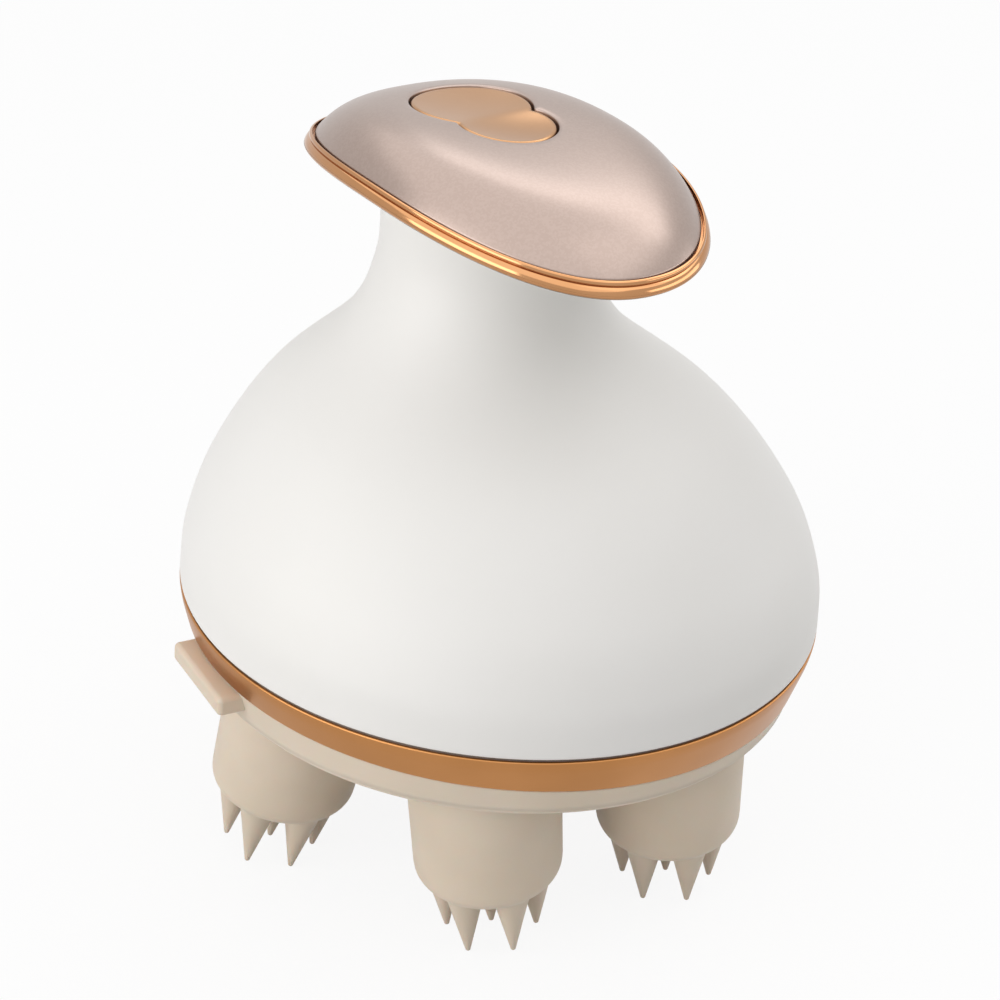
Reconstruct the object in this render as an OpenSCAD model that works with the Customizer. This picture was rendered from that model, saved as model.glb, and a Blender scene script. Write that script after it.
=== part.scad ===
// Electric scalp massager: a dome with a finger neck and a leaf-shaped grip on top,
// and six silicone massage heads below that rock on oblique crank pins.
// +Z is up, the front (the grip's tip) points along -Y, the cover's pull tab to -X.
// The origin is on the dome's axis in the plane that the spike tips stand on.

/* [Body] */
// Radius of the dome at its seam
body_r = 52; // [50:0.5:54]
// Height of the seam above the plane the spikes stand on
seam_z = 46.9; // [45.5:0.1:48]
// Radius of the neck
neck_r = 16.8; // [16.6:0.1:18]
// Height of the neck's top above the seam
neck_h = 62; // [60:0.5:64]
// How far the neck stands behind the dome's axis
neck_back = 12; // [11:0.5:13]
// Wall of the dome and neck
shell_wall = 2.2; // [1.8:0.1:2.6]

/* [Grip] */
// Half width of the grip, over the top cover
grip_half_w = 24; // [22:0.5:26]
// Distance from the grip's widest line to its front tip
grip_front = 34.4; // [32:0.2:36]
// Distance from the grip's widest line to its back end
grip_rear = 35.4; // [34:0.2:37]
// How far the widest line lies behind the dome's axis
grip_back = 8; // [6:0.5:10]
// Bluntness of the front outline (2 is an ellipse)
front_blunt = 2.15; // [2:0.05:2.6]
// Bluntness of the rear outline
rear_blunt = 2.38; // [2:0.05:2.8]
// Height of the rim above the seam, over the dome's axis
rim_h = 69.1; // [68:0.1:70]
// Forward pitch of the rim
rim_pitch = 4.4; // [3:0.1:5]
// How much the rim droops towards both ends, per square millimetre
rim_droop = 0.0034; // [0.002:0.0002:0.004]
// Rise of the top cover above the rim
crown_h = 6.1; // [5.8:0.1:6.6]
// Flatness of the top cover's middle
crown_flat = 6.7; // [5.5:0.1:7.5]

/* [Button] */
// Radius of the rear lobe
lobe_r_rear = 9.35; // [9:0.05:9.6]
// Radius of the front lobe
lobe_r_front = 7.6; // [7.2:0.05:7.8]
// Rear lobe's centre behind the dome's axis
lobe_y_rear = 18.7; // [18:0.1:19]
// Front lobe's centre behind the dome's axis
lobe_y_front = 9.6; // [9.4:0.1:10]
// Travel of the button
button_travel = 0.5; // [0.3:0.1:0.6]
// Gap around the button
button_gap = 0.35; // [0.3:0.05:0.5]

/* [Base] */
// Radius of the silicone rim at its lower edge
rim_r = 49.3; // [49:0.1:49.5]
// Depth of the gold band's mean lower edge below the seam
band_drop = 7; // [6.5:0.1:7.5]
// Tilt of that edge, which rises to the tab's side
band_tilt = 2; // [1:0.5:2.5]
// Depth of the silicone cover's underside below the seam
floor_drop = 12; // [11.5:0.1:12.5]
// Direction of the pull tab, from the front, towards +X
tab_dir = -98; // [-105:1:-90]
// Length of the pull tab around the rim
tab_len = 18; // [16:0.5:20]

/* [Massage heads] */
// Turn of the six heads about the dome's axis
head_turn = -10; // [-15:1:-5]
// Tilt of the crank pins
crank_tilt = 8; // [6:0.5:9]
// Radius of a cup at its shoulder
cup_r = 11.9; // [11.7:0.1:12]
// Radius of a cup above its rounded end
cup_end_r = 11.8; // [11.2:0.1:11.9]
// Length of a cup from its pivot to its flat end
cup_len = 23.4; // [23.2:0.1:25]
// Height of a spike
spike_h = 11.9; // [10:0.1:12]
// Radius of the ring of spikes
spike_ring_r = 7.2; // [7:0.1:7.5]
// How much shorter the middle spike is
spike_short = 0.7; // [0.5:0.1:1.2]
// Directions that the six heads lean to at rest, from +X
lean_dirs = [200, 60, 120, -12, 6, -70];
// Turn of each head's ring of spikes, from +X
spike_turns = [20, 20, 27, 22, 19, 20];

/* [Drive] */
// Radius of the motor
motor_r = 12; // [11:0.5:12]
// Length of the motor can
motor_len = 24; // [22:0.5:24]

/* [Supply] */
// Radius of the battery cell
cell_r = 7; // [6.5:0.1:7]
// Length of the battery cell
cell_len = 49; // [45:1:50]
// Radius of the charging socket's bore
socket_r = 2.75; // [2.5:0.05:3]
// Depth of the charging socket's bore
socket_depth = 9; // [8:0.5:10]

/* [Hidden] */

// colours of the real finishes
white_abs = "#F1F0EC";
rose_gold = "#C08A62";
champagne = "#CDB8AA";
gold_button = "#CDA27C";
silicone = "#D6C7B5";
natural_pom = "#E8E4D8";
dark_plastic = "#3A3A3C";
steel = "#B9BDC1";
bronze = "#A67A45";
board_green = "#2F6B45";

// true curves, and the segment counts of the faceted skins
$fn = 96;
around = 56;
crown_rings = 9;
tray_rings = 8;
body_rings = 20;

// the drive: a pinion and a wheel in two stages, then one gear that drives all the cranks
heads = 6;
crank_module = 1.5;
centre_teeth = 27;
crank_teeth = 18;
slow_module = 1;
fast_module = 0.8;
wheel_teeth = 36;
pinion_teeth = 12;
head_ring_r = crank_module * (centre_teeth + crank_teeth) / 2;

// heights that the base is built from
hairline = 0.2;
floor_z = seam_z - floor_drop;
floor_t = 1.7;
pivot_z = floor_z + 1;
plate_z = seam_z - 8;
plate_t = 2;
plate_r = 47.6;
band_core_r = 48.2;
band_inner_r = 47.7;
cup_clear = 0.3;
shoulder_r = 12.3;
hole_r = shoulder_r + cup_clear;
gear_z = seam_z + 0.5;
gear_t = 4;
slow_z = gear_z + gear_t + 0.5;
wheel_t = 3;
fast_z = slow_z + wheel_t + 0.8;
gearbox_z = fast_z + wheel_t + 1;
gearbox_t = 2;
motor_z = gearbox_z + gearbox_t;
hub_r = 5;
bush_r = 7;
pin_r = 2.5;
pin_root = 4.5;
bearing_len = 14;
running = 0.05;
axle_r = 2;
carrier_top = 2;
tray_edge = 2.4;
tray_thin = 0.4;
board_t = 1;
board_top = seam_z + rim_h - 1.1;
stem_y = (lobe_y_rear + lobe_y_front) / 2;
tact_h = 2.2;
stem_z = board_top + tact_h + 0.8;

// ---------- gears ----------

// involute function, in degrees
function involute(a) = tan(a) * 180 / PI - a;

// half the angle that a tooth spans at radius r
function tooth_half(m, n, r, slack) =
    let (base = m * n / 2 * cos(20), q = max(r, base))
    90 / n - slack + involute(20) - involute(acos(min(1, base / q)));

// outline of a spur gear with its first tooth at angle "phase"
function gear_points(m, n, phase, slack = 0.5) =
    let (pitch = m * n / 2, root = pitch - 1.25 * m, tip = pitch + 0.85 * m,
         steps = [for (i = [0:3]) max(root, pitch * cos(20)) + (tip - max(root, pitch * cos(20))) * i / 3])
    [for (t = [0:n - 1])
        let (mid = phase + 360 * t / n)
        each concat(
            [let (a = mid - tooth_half(m, n, root, slack)) root * [cos(a), sin(a)]],
            [for (r = steps) let (a = mid - tooth_half(m, n, r, slack)) r * [cos(a), sin(a)]],
            [for (i = [3:-1:0]) let (a = mid + tooth_half(m, n, steps[i], slack))
                 steps[i] * [cos(a), sin(a)]],
            [let (a = mid + tooth_half(m, n, root, slack)) root * [cos(a), sin(a)]])];

// tooth phase that meshes with a gear of n_a teeth and phase_a, seen from it in direction dir
function mesh_phase(n_a, phase_a, n_b, dir) = dir + 180 - n_a / n_b * (phase_a - dir) + 180 / n_b;

module spur_gear(m, n, t, phase) {
    linear_extrude(t) polygon(gear_points(m, n, phase));
}

// ---------- smooth skins ----------

// smooth curve through stations [position, value...], by cubic pieces
function slope(st, i, c) =
    let (a = max(0, i - 1), b = min(len(st) - 1, i + 1)) (st[b][c] - st[a][c]) / (st[b][0] - st[a][0]);
function span_of(st, x, i = 0) = (i >= len(st) - 2 || x <= st[i + 1][0]) ? i : span_of(st, x, i + 1);
function through(st, x, c) =
    let (i = span_of(st, x), h = st[i + 1][0] - st[i][0], u = (x - st[i][0]) / h,
         m0 = slope(st, i, c) * h, m1 = slope(st, i + 1, c) * h)
    (2 * u ^ 3 - 3 * u ^ 2 + 1) * st[i][c] + (u ^ 3 - 2 * u ^ 2 + u) * m0
    + (3 * u ^ 2 - 2 * u ^ 3) * st[i + 1][c] + (u ^ 3 - u ^ 2) * m1;

// stations of the body: height above the seam, radius, distance behind the axis
body_line = [[0, body_r, 0], [8, body_r - 0.8, 0.4], [18, body_r - 4.8, 1.6], [30, 0.73 * body_r, 4.5],
             [42, 0.435 * body_r, 9.2], [52, neck_r + 0.5, neck_back - 0.5], [neck_h, neck_r, neck_back]];

// middle of a ring of points
function middle(r) = [for (c = [0:2]) [for (p = r) p[c]] * [for (p = r) 1] / len(r)];

// closed skin over a stack of rings, all with the same number of points, each end closed by a fan
module skin(rings) {
    n = len(rings[0]);
    k = len(rings);
    polyhedron(
        points = concat([for (r = rings) each r], [middle(rings[0]), middle(rings[k - 1])]),
        faces = concat(
            [for (i = [0:n - 1]) [i, (i + 1) % n, k * n]],
            [for (j = [0:k - 2], i = [0:n - 1]) each band_faces(j * n, (j + 1) * n, i, n)],
            [for (i = [0:n - 1]) [(k - 1) * n + (i + 1) % n, (k - 1) * n + i, k * n + 1]]),
        convexity = 6);
}

// the same, with the last ring joined to the first instead of two caps
module loop_skin(rings) {
    n = len(rings[0]);
    k = len(rings);
    polyhedron(
        points = [for (r = rings) each r],
        faces = [for (j = [0:k - 1], i = [0:n - 1]) each band_faces(j * n, ((j + 1) % k) * n, i, n)],
        convexity = 6);
}

// the two triangles between points i and i + 1 of two rings that start at a and b
function band_faces(a, b, i, n) =
    let (q = (i + 1) % n) [[a + i, b + i, a + q], [a + q, b + i, b + q]];

function circle_ring(r, y, z, n = around) =
    [for (i = [0:n - 1]) [r * cos(360 * i / n), y + r * sin(360 * i / n), z]];

// ring of the dome and neck at height h above the seam, drawn in by "inset"
function body_ring(h, inset) =
    circle_ring(through(body_line, h, 1) - inset, through(body_line, h, 2), seam_z + h);

function sgn_pow(v, p) = sign(v) * abs(v) ^ p;
// height of the grip's rim at y
function rim_at(y) = seam_z + rim_h + tan(rim_pitch) * y - rim_droop * y * y;
// rise of the top cover over the rim at a place inside the outline
function crown_at(p) =
    let (n = p[1] < grip_back ? front_blunt : rear_blunt, l = p[1] < grip_back ? grip_front : grip_rear,
         m = ((abs(p[0]) / grip_half_w) ^ n + (abs(p[1] - grip_back) / l) ^ n) ^ (1 / n))
    crown_h * (1 - m ^ crown_flat);
// one point of the grip's outline, grown by "grow", scaled by m about its middle
function outline_point(a, grow = 0, m = 1) =
    let (c = sin(a), n = c < 0 ? front_blunt : rear_blunt, l = c < 0 ? grip_front : grip_rear)
    [m * (grip_half_w + grow) * sgn_pow(cos(a), 2 / n), grip_back + m * (l + grow) * sgn_pow(c, 2 / n)];
function outline_ring(grow, lift, m = 1) =
    [for (i = [0:around - 1]) let (p = outline_point(360 * i / around, grow, m))
         [p[0], p[1], rim_at(p[1]) + lift]];

// rings of the top cover's crown, from its rim inwards, lowered by "drop" and drawn in by "inset"
function crown_ring_list(inset, drop, first = 0) = [for (j = [first:crown_rings])
    let (m = cos(90 * j / (crown_rings + 0.35)))
    outline_ring(-inset, crown_h * (1 - m ^ crown_flat) - drop, m)];

// rings of the grip's underside, from the neck's circle out to the outline; the upper side's
// height over the lower one, "lift", shrinks by the share "tray_thin" towards the outline
function tray_ring_list(inset, lift) = [for (j = [0:tray_rings])
    let (u = j / tray_rings, e = sqrt(1 - u * u))
    [for (i = [0:around - 1])
        let (a = 360 * i / around, p = outline_point(a, -inset),
             q = [(neck_r - inset) * cos(a), neck_back + (neck_r - inset) * sin(a)],
             w = q + (p - q) * (1 - e), low = seam_z + neck_h, top = rim_at(w[1]) - tray_edge)
        [w[0], w[1], low + (top - low) * u + lift * (1 - tray_thin * u)]]];

function reversed(v) = [for (i = [len(v) - 1:-1:0]) v[i]];

// outline of the button, grown by "grow"
module button_outline(grow) {
    translate([0, lobe_y_rear]) circle(lobe_r_rear + grow);
    translate([0, lobe_y_front]) circle(lobe_r_front + grow);
}

module button_prism(grow, low, high) {
    translate([0, 0, low]) linear_extrude(high - low) button_outline(grow);
}

// ---------- places ----------

function head_dir(k) = 60 * k + head_turn;
function head_xy(k) = head_ring_r * [cos(head_dir(k)), sin(head_dir(k))];
idler_r_sun = slow_module * (wheel_teeth + pinion_teeth) / 2;
idler_r_motor = fast_module * (wheel_teeth + pinion_teeth) / 2;
idler_dir = 90 + head_turn;
function gap_dir(j) = idler_dir + 60 * j;
idler_x = idler_r_sun * cos(idler_dir);
idler_y = idler_r_sun * sin(idler_dir);
motor_y = idler_y - sqrt(idler_r_motor ^ 2 - idler_x ^ 2);

module at_head(k) {
    translate([head_xy(k)[0], head_xy(k)[1], 0]) children();
}

// frame of head k's oblique axis: the pivot at its origin and the cup's end along -Z
module on_crank(k) {
    a = lean_dirs[k - 1];
    translate([head_xy(k)[0], head_xy(k)[1], pivot_z]) rotate(crank_tilt, [sin(a), -cos(a), 0]) children();
}

// half space below the tilted lower edge of the gold band
module below_band() {
    translate([0, 0, seam_z - band_drop]) rotate(tab_dir) rotate([-band_tilt, 0, 0])
        translate([-80, -80, -40]) cube([160, 160, 40]);
}

// a wire swept along a smooth line through the given points, with eight sides
function cross_unit(a, b) = cross(a, b) / norm(cross(a, b));
function through_points(pts, u) =
    let (st = [for (i = [0:len(pts) - 1]) concat([i], pts[i])]) [for (c = [1:3]) through(st, u, c)];
module lead(pts, r) {
    steps = 4 * (len(pts) - 1);
    line = [for (i = [0:steps]) through_points(pts, i * (len(pts) - 1) / steps)];
    skin([for (i = [0:steps])
        let (d = line[min(steps, i + 1)] - line[max(0, i - 1)],
              u = cross_unit(d, [1, 0.3, 0.02]),
              v = cross_unit(d, u))
        [for (j = [0:7]) line[i] + r * (cos(45 * j) * u + sin(45 * j) * v)]]);
}

// pan-head screw, its head's underside at the origin and the shank along -Z
module screw(shank, length, head = 1.9) {
    cylinder(h = 1.3, r = head, $fn = 48);
    translate([0, 0, -length]) cylinder(h = length, r = shank, $fn = 48);
}

// ---------- body ----------

boss_r = 43.2;
boss_dirs = [for (j = [0:heads - 1]) gap_dir(j)];
socket_z = seam_z + 9;

module body_shell() {
    hs = [for (j = [0:body_rings]) hairline + (neck_h - hairline) * j / body_rings];
    color(white_abs) difference() {
        union() {
            loop_skin(concat([for (h = hs) body_ring(h, 0)],
                             [for (h = reversed(hs)) body_ring(h, shell_wall)]));
            for (a = boss_dirs) rotate(a) translate([boss_r, 0, plate_z + plate_t]) cylinder(h = 10, r = 3.2);
            for (a = boss_dirs) rotate(a) translate([boss_r, -1, seam_z + 1]) cube([7, 2, 3]);
            for (p = neck_screw_xy) translate([p[0], p[1], seam_z + neck_h - 9]) cylinder(h = 9, r = 2.7);
        }
        for (p = neck_screw_xy) translate([p[0], p[1], seam_z + neck_h - 8]) cylinder(h = 9, r = 1.1);
        for (a = boss_dirs) rotate(a) translate([boss_r, 0, plate_z]) cylinder(h = 9, r = 1.1);
        translate([0, 40, socket_z]) rotate([-90, 0, 0]) cylinder(h = 20, r = 4.3);
    }
}

module seam_gasket() {
    color(dark_plastic) translate([0, 0, seam_z - hairline]) difference() {
        cylinder(h = 2 * hairline, r = body_r - 0.5);
        translate([0, 0, -1]) cylinder(h = 3, r = body_r - shell_wall - 0.3);
    }
}

band_top = seam_z - hairline;
module base_band() {
    color(rose_gold) {
        difference() {
            rotate_extrude()
                polygon([[band_inner_r, band_top], [body_r, band_top], [body_r - 0.2, band_top - 1.5],
                                      [rim_r + 0.2, seam_z - 10], [band_inner_r, seam_z - 10]]);
            difference() {
                below_band();
                cylinder(h = 90, r = band_core_r);
            }
            cylinder(h = seam_z - 9.4, r = 60);
        }
    }
}

module base_plate() {
    color(natural_pom) difference() {
        union() {
            translate([0, 0, plate_z]) cylinder(h = plate_t, r = plate_r);
            for (k = [1:heads]) at_head(k) translate([0, 0, plate_z]) cylinder(h = 7.2, r = bush_r + 1.8);
            translate([0, 0, plate_z]) cylinder(h = 6.5, r = 5);
            translate([idler_x, idler_y, plate_z]) cylinder(h = 6, r = 4.5);
        }
        for (k = [1:heads]) at_head(k) translate([0, 0, plate_z - 1]) cylinder(h = 10, r = bush_r);
        for (a = boss_dirs) rotate(a) translate([boss_r, 0, plate_z - 1]) cylinder(h = 4, r = 1.4);
        translate([0, 0, plate_z + 1]) cylinder(h = 7, r = axle_r);
        translate([idler_x, idler_y, plate_z + 1]) cylinder(h = 7, r = axle_r);
        for (p = post_xy) translate([p[0], p[1], plate_z - 1]) cylinder(h = 4, r = 1.4);
    }
}

tab_t = 3.2;
module silicone_cover() {
    color(silicone) {
        difference() {
            rotate_extrude() polygon([[0, floor_z], [rim_r - 2.2, floor_z], [rim_r - 1.1, floor_z + 0.25],
                                      [rim_r - 0.3, floor_z + 0.9], [rim_r, floor_z + 1.8],
                                      [rim_r + 0.2, floor_z + 2.4], [body_r - 0.9, seam_z - 4.5],
                                      [band_core_r, seam_z - 4.5], [band_core_r, floor_z + 2.8],
                                      [band_core_r - 1.2, floor_z + floor_t], [0, floor_z + floor_t]]);
            for (k = [1:heads]) at_head(k) translate([0, 0, floor_z - 1]) cylinder(h = 6, r = hole_r);
            difference() {
                translate([0, 0, seam_z - 30]) cylinder(h = 60, r = 70);
                below_band();
            }
            rotate_extrude() polygon([[rim_r + 0.2, seam_z - 10], [body_r - 0.2, band_top - 1.5],
                                      [body_r + 6, band_top - 1.5], [body_r + 6, seam_z - 10]]);
        }
        pull_tab();
    }
}

// the tab stands out from the rim; its corners are rounded by four upright cylinders
module pull_tab() {
    round_r = 1;
    in_r = rim_r - 0.6;
    out_r = rim_r + 4.2;
    rotate(tab_dir - 90) translate([0, 0, seam_z - band_drop - 1.7])
        difference() {
            hull() {
                for (x = [in_r, out_r - round_r], y = [-1, 1])
                    translate([x, y * (tab_len / 2 - round_r), 0]) {
                        cylinder(h = tab_t, r = round_r - 0.4, $fn = 32);
                        translate([0, 0, 0.4]) cylinder(h = tab_t - 0.8, r = round_r, $fn = 32);
                    }
            }
            translate([0, 0, -1]) cylinder(h = 8, r = rim_r + 0.05);
        }
}

// ---------- grip ----------

neck_ring = 12.6;
function around_neck(a) = [neck_ring * cos(a), neck_back + neck_ring * sin(a)];
grip_screw_xy = [for (a = [210, 330]) around_neck(a)];
neck_screw_xy = [for (a = [30, 150, 270]) around_neck(a)];
board_posts = [for (x = [-4.5, 4.5], y = [-6.5, 6.5]) [x, stem_y + y]];
tray_floor_z = seam_z + neck_h;
tray_floor_t = 1.8;
module grip_tray() {
    color(white_abs) difference() {
        union() {
            skin(concat(tray_ring_list(0, 0), reversed(tray_ring_list(shell_wall, tray_floor_t))));
            for (p = board_posts) translate([p[0], p[1], tray_floor_z + 1])
                cylinder(h = board_top - board_t - tray_floor_z - 1, r = 1.3);
        }
        for (p = concat(grip_screw_xy, neck_screw_xy))
            translate([p[0], p[1], tray_floor_z - 1]) cylinder(h = 4, r = 1.2);
        translate([0, neck_back, tray_floor_z - 1]) cylinder(h = 4, r = 2.5);
    }
}

// bead and lip of the trim, swept along the outline
trim_line = [[-1.5, -1.58], [0.1, -2.4], [0.5, -2.35], [1.15, -1.95], [1.45, -1.35], [1.4, -0.8], [1.1, -0.35],
             [0.75, -0.1], [0.7, 0.1], [0.45, 0.3], [0.15, 0.25], [0.1, -0.9], [-1.5, -0.9]];
module grip_trim_ring() {
    n = len(trim_line);
    rings = [for (i = [0:around - 1]) [for (q = trim_line)
        let (p = outline_point(360 * i / around, q[0])) [p[0], p[1], rim_at(p[1]) + q[1]]]];
    color(rose_gold) polyhedron(
        points = [for (r = rings) each r],
        faces = [for (i = [0:around - 1], j = [0:n - 1]) each
            let (a = i * n + j, b = i * n + (j + 1) % n, c = ((i + 1) % around) * n + j,
                 d = ((i + 1) % around) * n + (j + 1) % n) [[a, b, c], [b, d, c]]],
        convexity = 6);
}

cover_t = 1.6;
module grip_cover() {
    color(champagne) {
        difference() {
            skin(concat(reversed(crown_ring_list(cover_t, cover_t, 2)), [outline_ring(-cover_t, -0.85)],
                        [outline_ring(0, -0.85)], crown_ring_list(0, 0)));
            button_prism(button_gap, seam_z + rim_h + 2, seam_z + rim_h + 12);
        }
        for (p = grip_screw_xy) translate([p[0], p[1], tray_floor_z + tray_floor_t + 0.1]) difference() {
            cylinder(h = rim_at(p[1]) + crown_at(p) - tray_floor_z - tray_floor_t - 0.9, r = 2);
            translate([0, 0, -1]) cylinder(h = 6.5, r = 0.9);
        }
    }
}

button_sink = 0.25;
crown_sphere_r = 180;
crown_top_y = tan(rim_pitch) / (2 * rim_droop);
cap_low = seam_z + rim_h + crown_h - cover_t - 2.2;
module button_cap() {
    color(gold_button) {
        intersection() {
            button_prism(0, cap_low, cap_low + 8);
            translate([0, crown_top_y, rim_at(crown_top_y) + crown_h - button_sink - crown_sphere_r])
                sphere(crown_sphere_r, $fn = 400);
        }
        button_prism(1, cap_low, cap_low + 0.9);
        translate([0, stem_y, stem_z]) cylinder(h = cap_low + 1 - stem_z, r = 1.6);
    }
}

module button_seal() {
    color(dark_plastic) translate([0, 0, board_top]) difference() {
        linear_extrude(1.4) button_outline(0.8);
        translate([0, stem_y, -1]) cylinder(h = 4, r = 4.6);
        for (p = grip_screw_xy) translate([p[0], p[1], -1]) cylinder(h = 4, r = 2.6);
    }
}

module switch_board() {
    color(board_green) translate([-6, stem_y - 8, board_top - board_t]) cube([12, 16, board_t]);
}

module tact_switch() {
    color(dark_plastic) translate([-3, stem_y - 3, board_top]) difference() {
        cube([6, 6, tact_h]);
        translate([3, 3, 1]) cylinder(h = 3, r = 1.8);
    }
}

module tact_plunger() {
    low = board_top + 1.1 + button_travel;
    color(steel) translate([0, stem_y, low]) cylinder(h = stem_z - low, r = 1.6);
}

// they come up through the tray's floor into the cover's long bosses, from inside the neck
module grip_screws() {
    color(steel) for (p = grip_screw_xy)
        translate([p[0], p[1], tray_floor_z]) mirror([0, 0, 1]) screw(0.85, 6.5);
}

module neck_screws() {
    color(steel) for (p = neck_screw_xy) translate([p[0], p[1], tray_floor_z + tray_floor_t]) screw(1.05, 8);
}

module base_screws() {
    color(steel) for (a = boss_dirs)
        rotate(a) translate([boss_r, 0, plate_z]) mirror([0, 0, 1]) screw(1.05, 8.5);
}

// ---------- drive ----------

// the posts stand in the gaps between the crank gears, on both sides of the idler and at the front
post_ring_r = 35.5;
post_xy = [for (j = [1, 2, 4, 5]) post_ring_r * [cos(gap_dir(j)), sin(gap_dir(j))]];

module gearbox_plate() {
    color(natural_pom) difference() {
        translate([0, 0, gearbox_z]) linear_extrude(gearbox_t) hull() {
            for (p = post_xy) translate(p) circle(4.5, $fn = 32);
            translate([idler_x, idler_y]) circle(5, $fn = 32);
        }
        translate([0, motor_y, gearbox_z - 1]) cylinder(h = 4, r = 4);
        translate([idler_x, idler_y, gearbox_z - 1]) cylinder(h = 2, r = axle_r);
        for (p = post_xy) translate([p[0], p[1], gearbox_z - 1]) cylinder(h = 4, r = 1.2);
    }
}

module gearbox_posts() {
    color(natural_pom) for (p = post_xy) translate([p[0], p[1], plate_z + plate_t]) difference() {
        cylinder(h = gearbox_z - plate_z - plate_t, r = 2.8);
        translate([0, 0, -1]) cylinder(h = 40, r = 1.1);
    }
}

module gearbox_screws() {
    color(steel) for (p = post_xy) translate([p[0], p[1], gearbox_z + gearbox_t]) screw(1.05, 10);
}

centre_phase = 0;
idler_phase = mesh_phase(wheel_teeth, centre_phase, pinion_teeth, idler_dir);
motor_dir = atan2(motor_y - idler_y, -idler_x);

module centre_axle() {
    color(steel) translate([0, 0, plate_z + 1])
        cylinder(h = slow_z + wheel_t + 0.4 - plate_z - 1, r = axle_r);
}

// the wheel that the idler drives and the gear that drives the six cranks, moulded as one
module centre_gear() {
    color(natural_pom) difference() {
        union() {
            translate([0, 0, gear_z]) spur_gear(crank_module, centre_teeth, gear_t, centre_phase);
            translate([0, 0, gear_z + gear_t]) cylinder(h = slow_z - gear_z - gear_t, r = 9);
            translate([0, 0, slow_z]) spur_gear(slow_module, wheel_teeth, wheel_t, centre_phase);
        }
        translate([0, 0, gear_z - 1]) cylinder(h = 20, r = axle_r + running);
    }
}

module idler_axle() {
    color(steel) translate([idler_x, idler_y, plate_z + 1]) cylinder(h = gearbox_z - plate_z, r = axle_r);
}

module idler_gear() {
    color(natural_pom) translate([idler_x, idler_y, 0]) difference() {
        union() {
            translate([0, 0, slow_z]) spur_gear(slow_module, pinion_teeth, fast_z - slow_z, idler_phase);
            translate([0, 0, fast_z]) spur_gear(fast_module, wheel_teeth, wheel_t, 0);
        }
        translate([0, 0, slow_z - 1]) cylinder(h = 20, r = axle_r + running);
    }
}

// the can stands on the gearbox plate; its steel shell has two flats
module motor_can() {
    color(steel) translate([0, motor_y, motor_z]) difference() {
        intersection() {
            cylinder(h = motor_len, r = motor_r);
            translate([-motor_r + 1, -motor_r, 0]) cube([2 * motor_r - 2, 2 * motor_r, motor_len]);
        }
        translate([0, 0, 1]) cylinder(h = motor_len, r = motor_r - 1.6);
        translate([0, 0, -1]) cylinder(h = 4, r = shaft_r + 0.6);
    }
}

shaft_r = 1;
module motor_end_cap() {
    color(dark_plastic) translate([0, motor_y, motor_z + motor_len]) {
        difference() {
            intersection() {
                cylinder(h = 2.4, r = motor_r - 0.2);
                translate([-motor_r + 1, -motor_r, 0]) cube([2 * motor_r - 2, 2 * motor_r, 3]);
            }
            translate([0, 0, -1]) cylinder(h = 2.2, r = 2);
        }
        for (x = [-5, 4.4]) translate([x, -4, 2.4]) cube([0.6, 2, 2]);
    }
}

// the shaft carries the rotor inside the can
module motor_shaft() {
    color(steel) translate([0, motor_y, 0]) {
        translate([0, 0, fast_z]) cylinder(h = motor_z + motor_len + 0.9 - fast_z, r = shaft_r);
        translate([0, 0, motor_z + 4]) cylinder(h = motor_len - 7, r = motor_r - 3);
    }
}

module motor_pinion() {
    color(bronze) translate([0, motor_y, fast_z]) difference() {
        spur_gear(fast_module, pinion_teeth, wheel_t, mesh_phase(wheel_teeth, 0, pinion_teeth, motor_dir));
        translate([0, 0, -1]) cylinder(h = 5, r = shaft_r);
    }
}

// ---------- supply ----------

cell_y = motor_y - motor_r - cell_r - 1;
cell_z = motor_z + cell_r + 1.4;
module battery_cell() {
    color("#5C7F9E") translate([-cell_len / 2, cell_y, cell_z])
        rotate([0, 90, 0]) cylinder(h = cell_len, r = cell_r);
}

// a tray with two end walls and a round seat for the cell, cut back round a screw's head
module battery_holder() {
    color(dark_plastic) difference() {
        translate([-cell_len / 2 - 1.5, cell_y - cell_r - 0.6, motor_z])
            cube([cell_len + 3, 2 * cell_r + 1.2, cell_r + 0.4]);
        translate([-cell_len / 2, cell_y, cell_z]) rotate([0, 90, 0]) cylinder(h = cell_len, r = cell_r);
        translate([-cell_len / 2, cell_y - cell_r, cell_z]) cube([cell_len, 2 * cell_r, 10]);
        for (p = post_xy) translate([p[0], p[1], motor_z - 1]) cylinder(h = 3, r = 2.3);
    }
}

main_board_z = cell_z + cell_r + 1.2;
module main_board() {
    color(board_green) translate([-17, cell_y - 5, main_board_z]) cube([34, 12, 1.2]);
    color(dark_plastic) translate([-4, cell_y - 2, main_board_z + 1.2]) cube([8, 5, 1.2]);
}

socket_face = body_r - 1.4;
module charge_socket() {
    color(dark_plastic) translate([0, socket_face, socket_z]) rotate([90, 0, 0]) difference() {
        cylinder(h = socket_depth + 1.2, r = 4);
        translate([0, 0, -1]) cylinder(h = socket_depth + 1, r = socket_r);
    }
}

lead_r = 0.8;
motor_top = motor_z + motor_len;
module battery_lead() {
    color("#B23A34") for (sx = [-1, 1])
        lead([[sx * (cell_len / 2 + 2.4), cell_y, cell_z + 2], [sx * (cell_len / 2 + 1.5), cell_y, cell_z + 7],
              [sx * 18, cell_y, main_board_z + 0.6]], lead_r);
}

module motor_lead() {
    color("#2B2B2E") for (sx = [-1, 1])
        lead([[sx * 4.6, motor_y - 4.1, motor_top + 3.9], [sx * 4.6, motor_y - motor_r, motor_top + 3.7],
              [sx * 4.6, motor_y - motor_r - 2.2, motor_top - 1], [sx * 4.6, cell_y + 4, main_board_z + 2.2]],
             lead_r);
}

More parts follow.
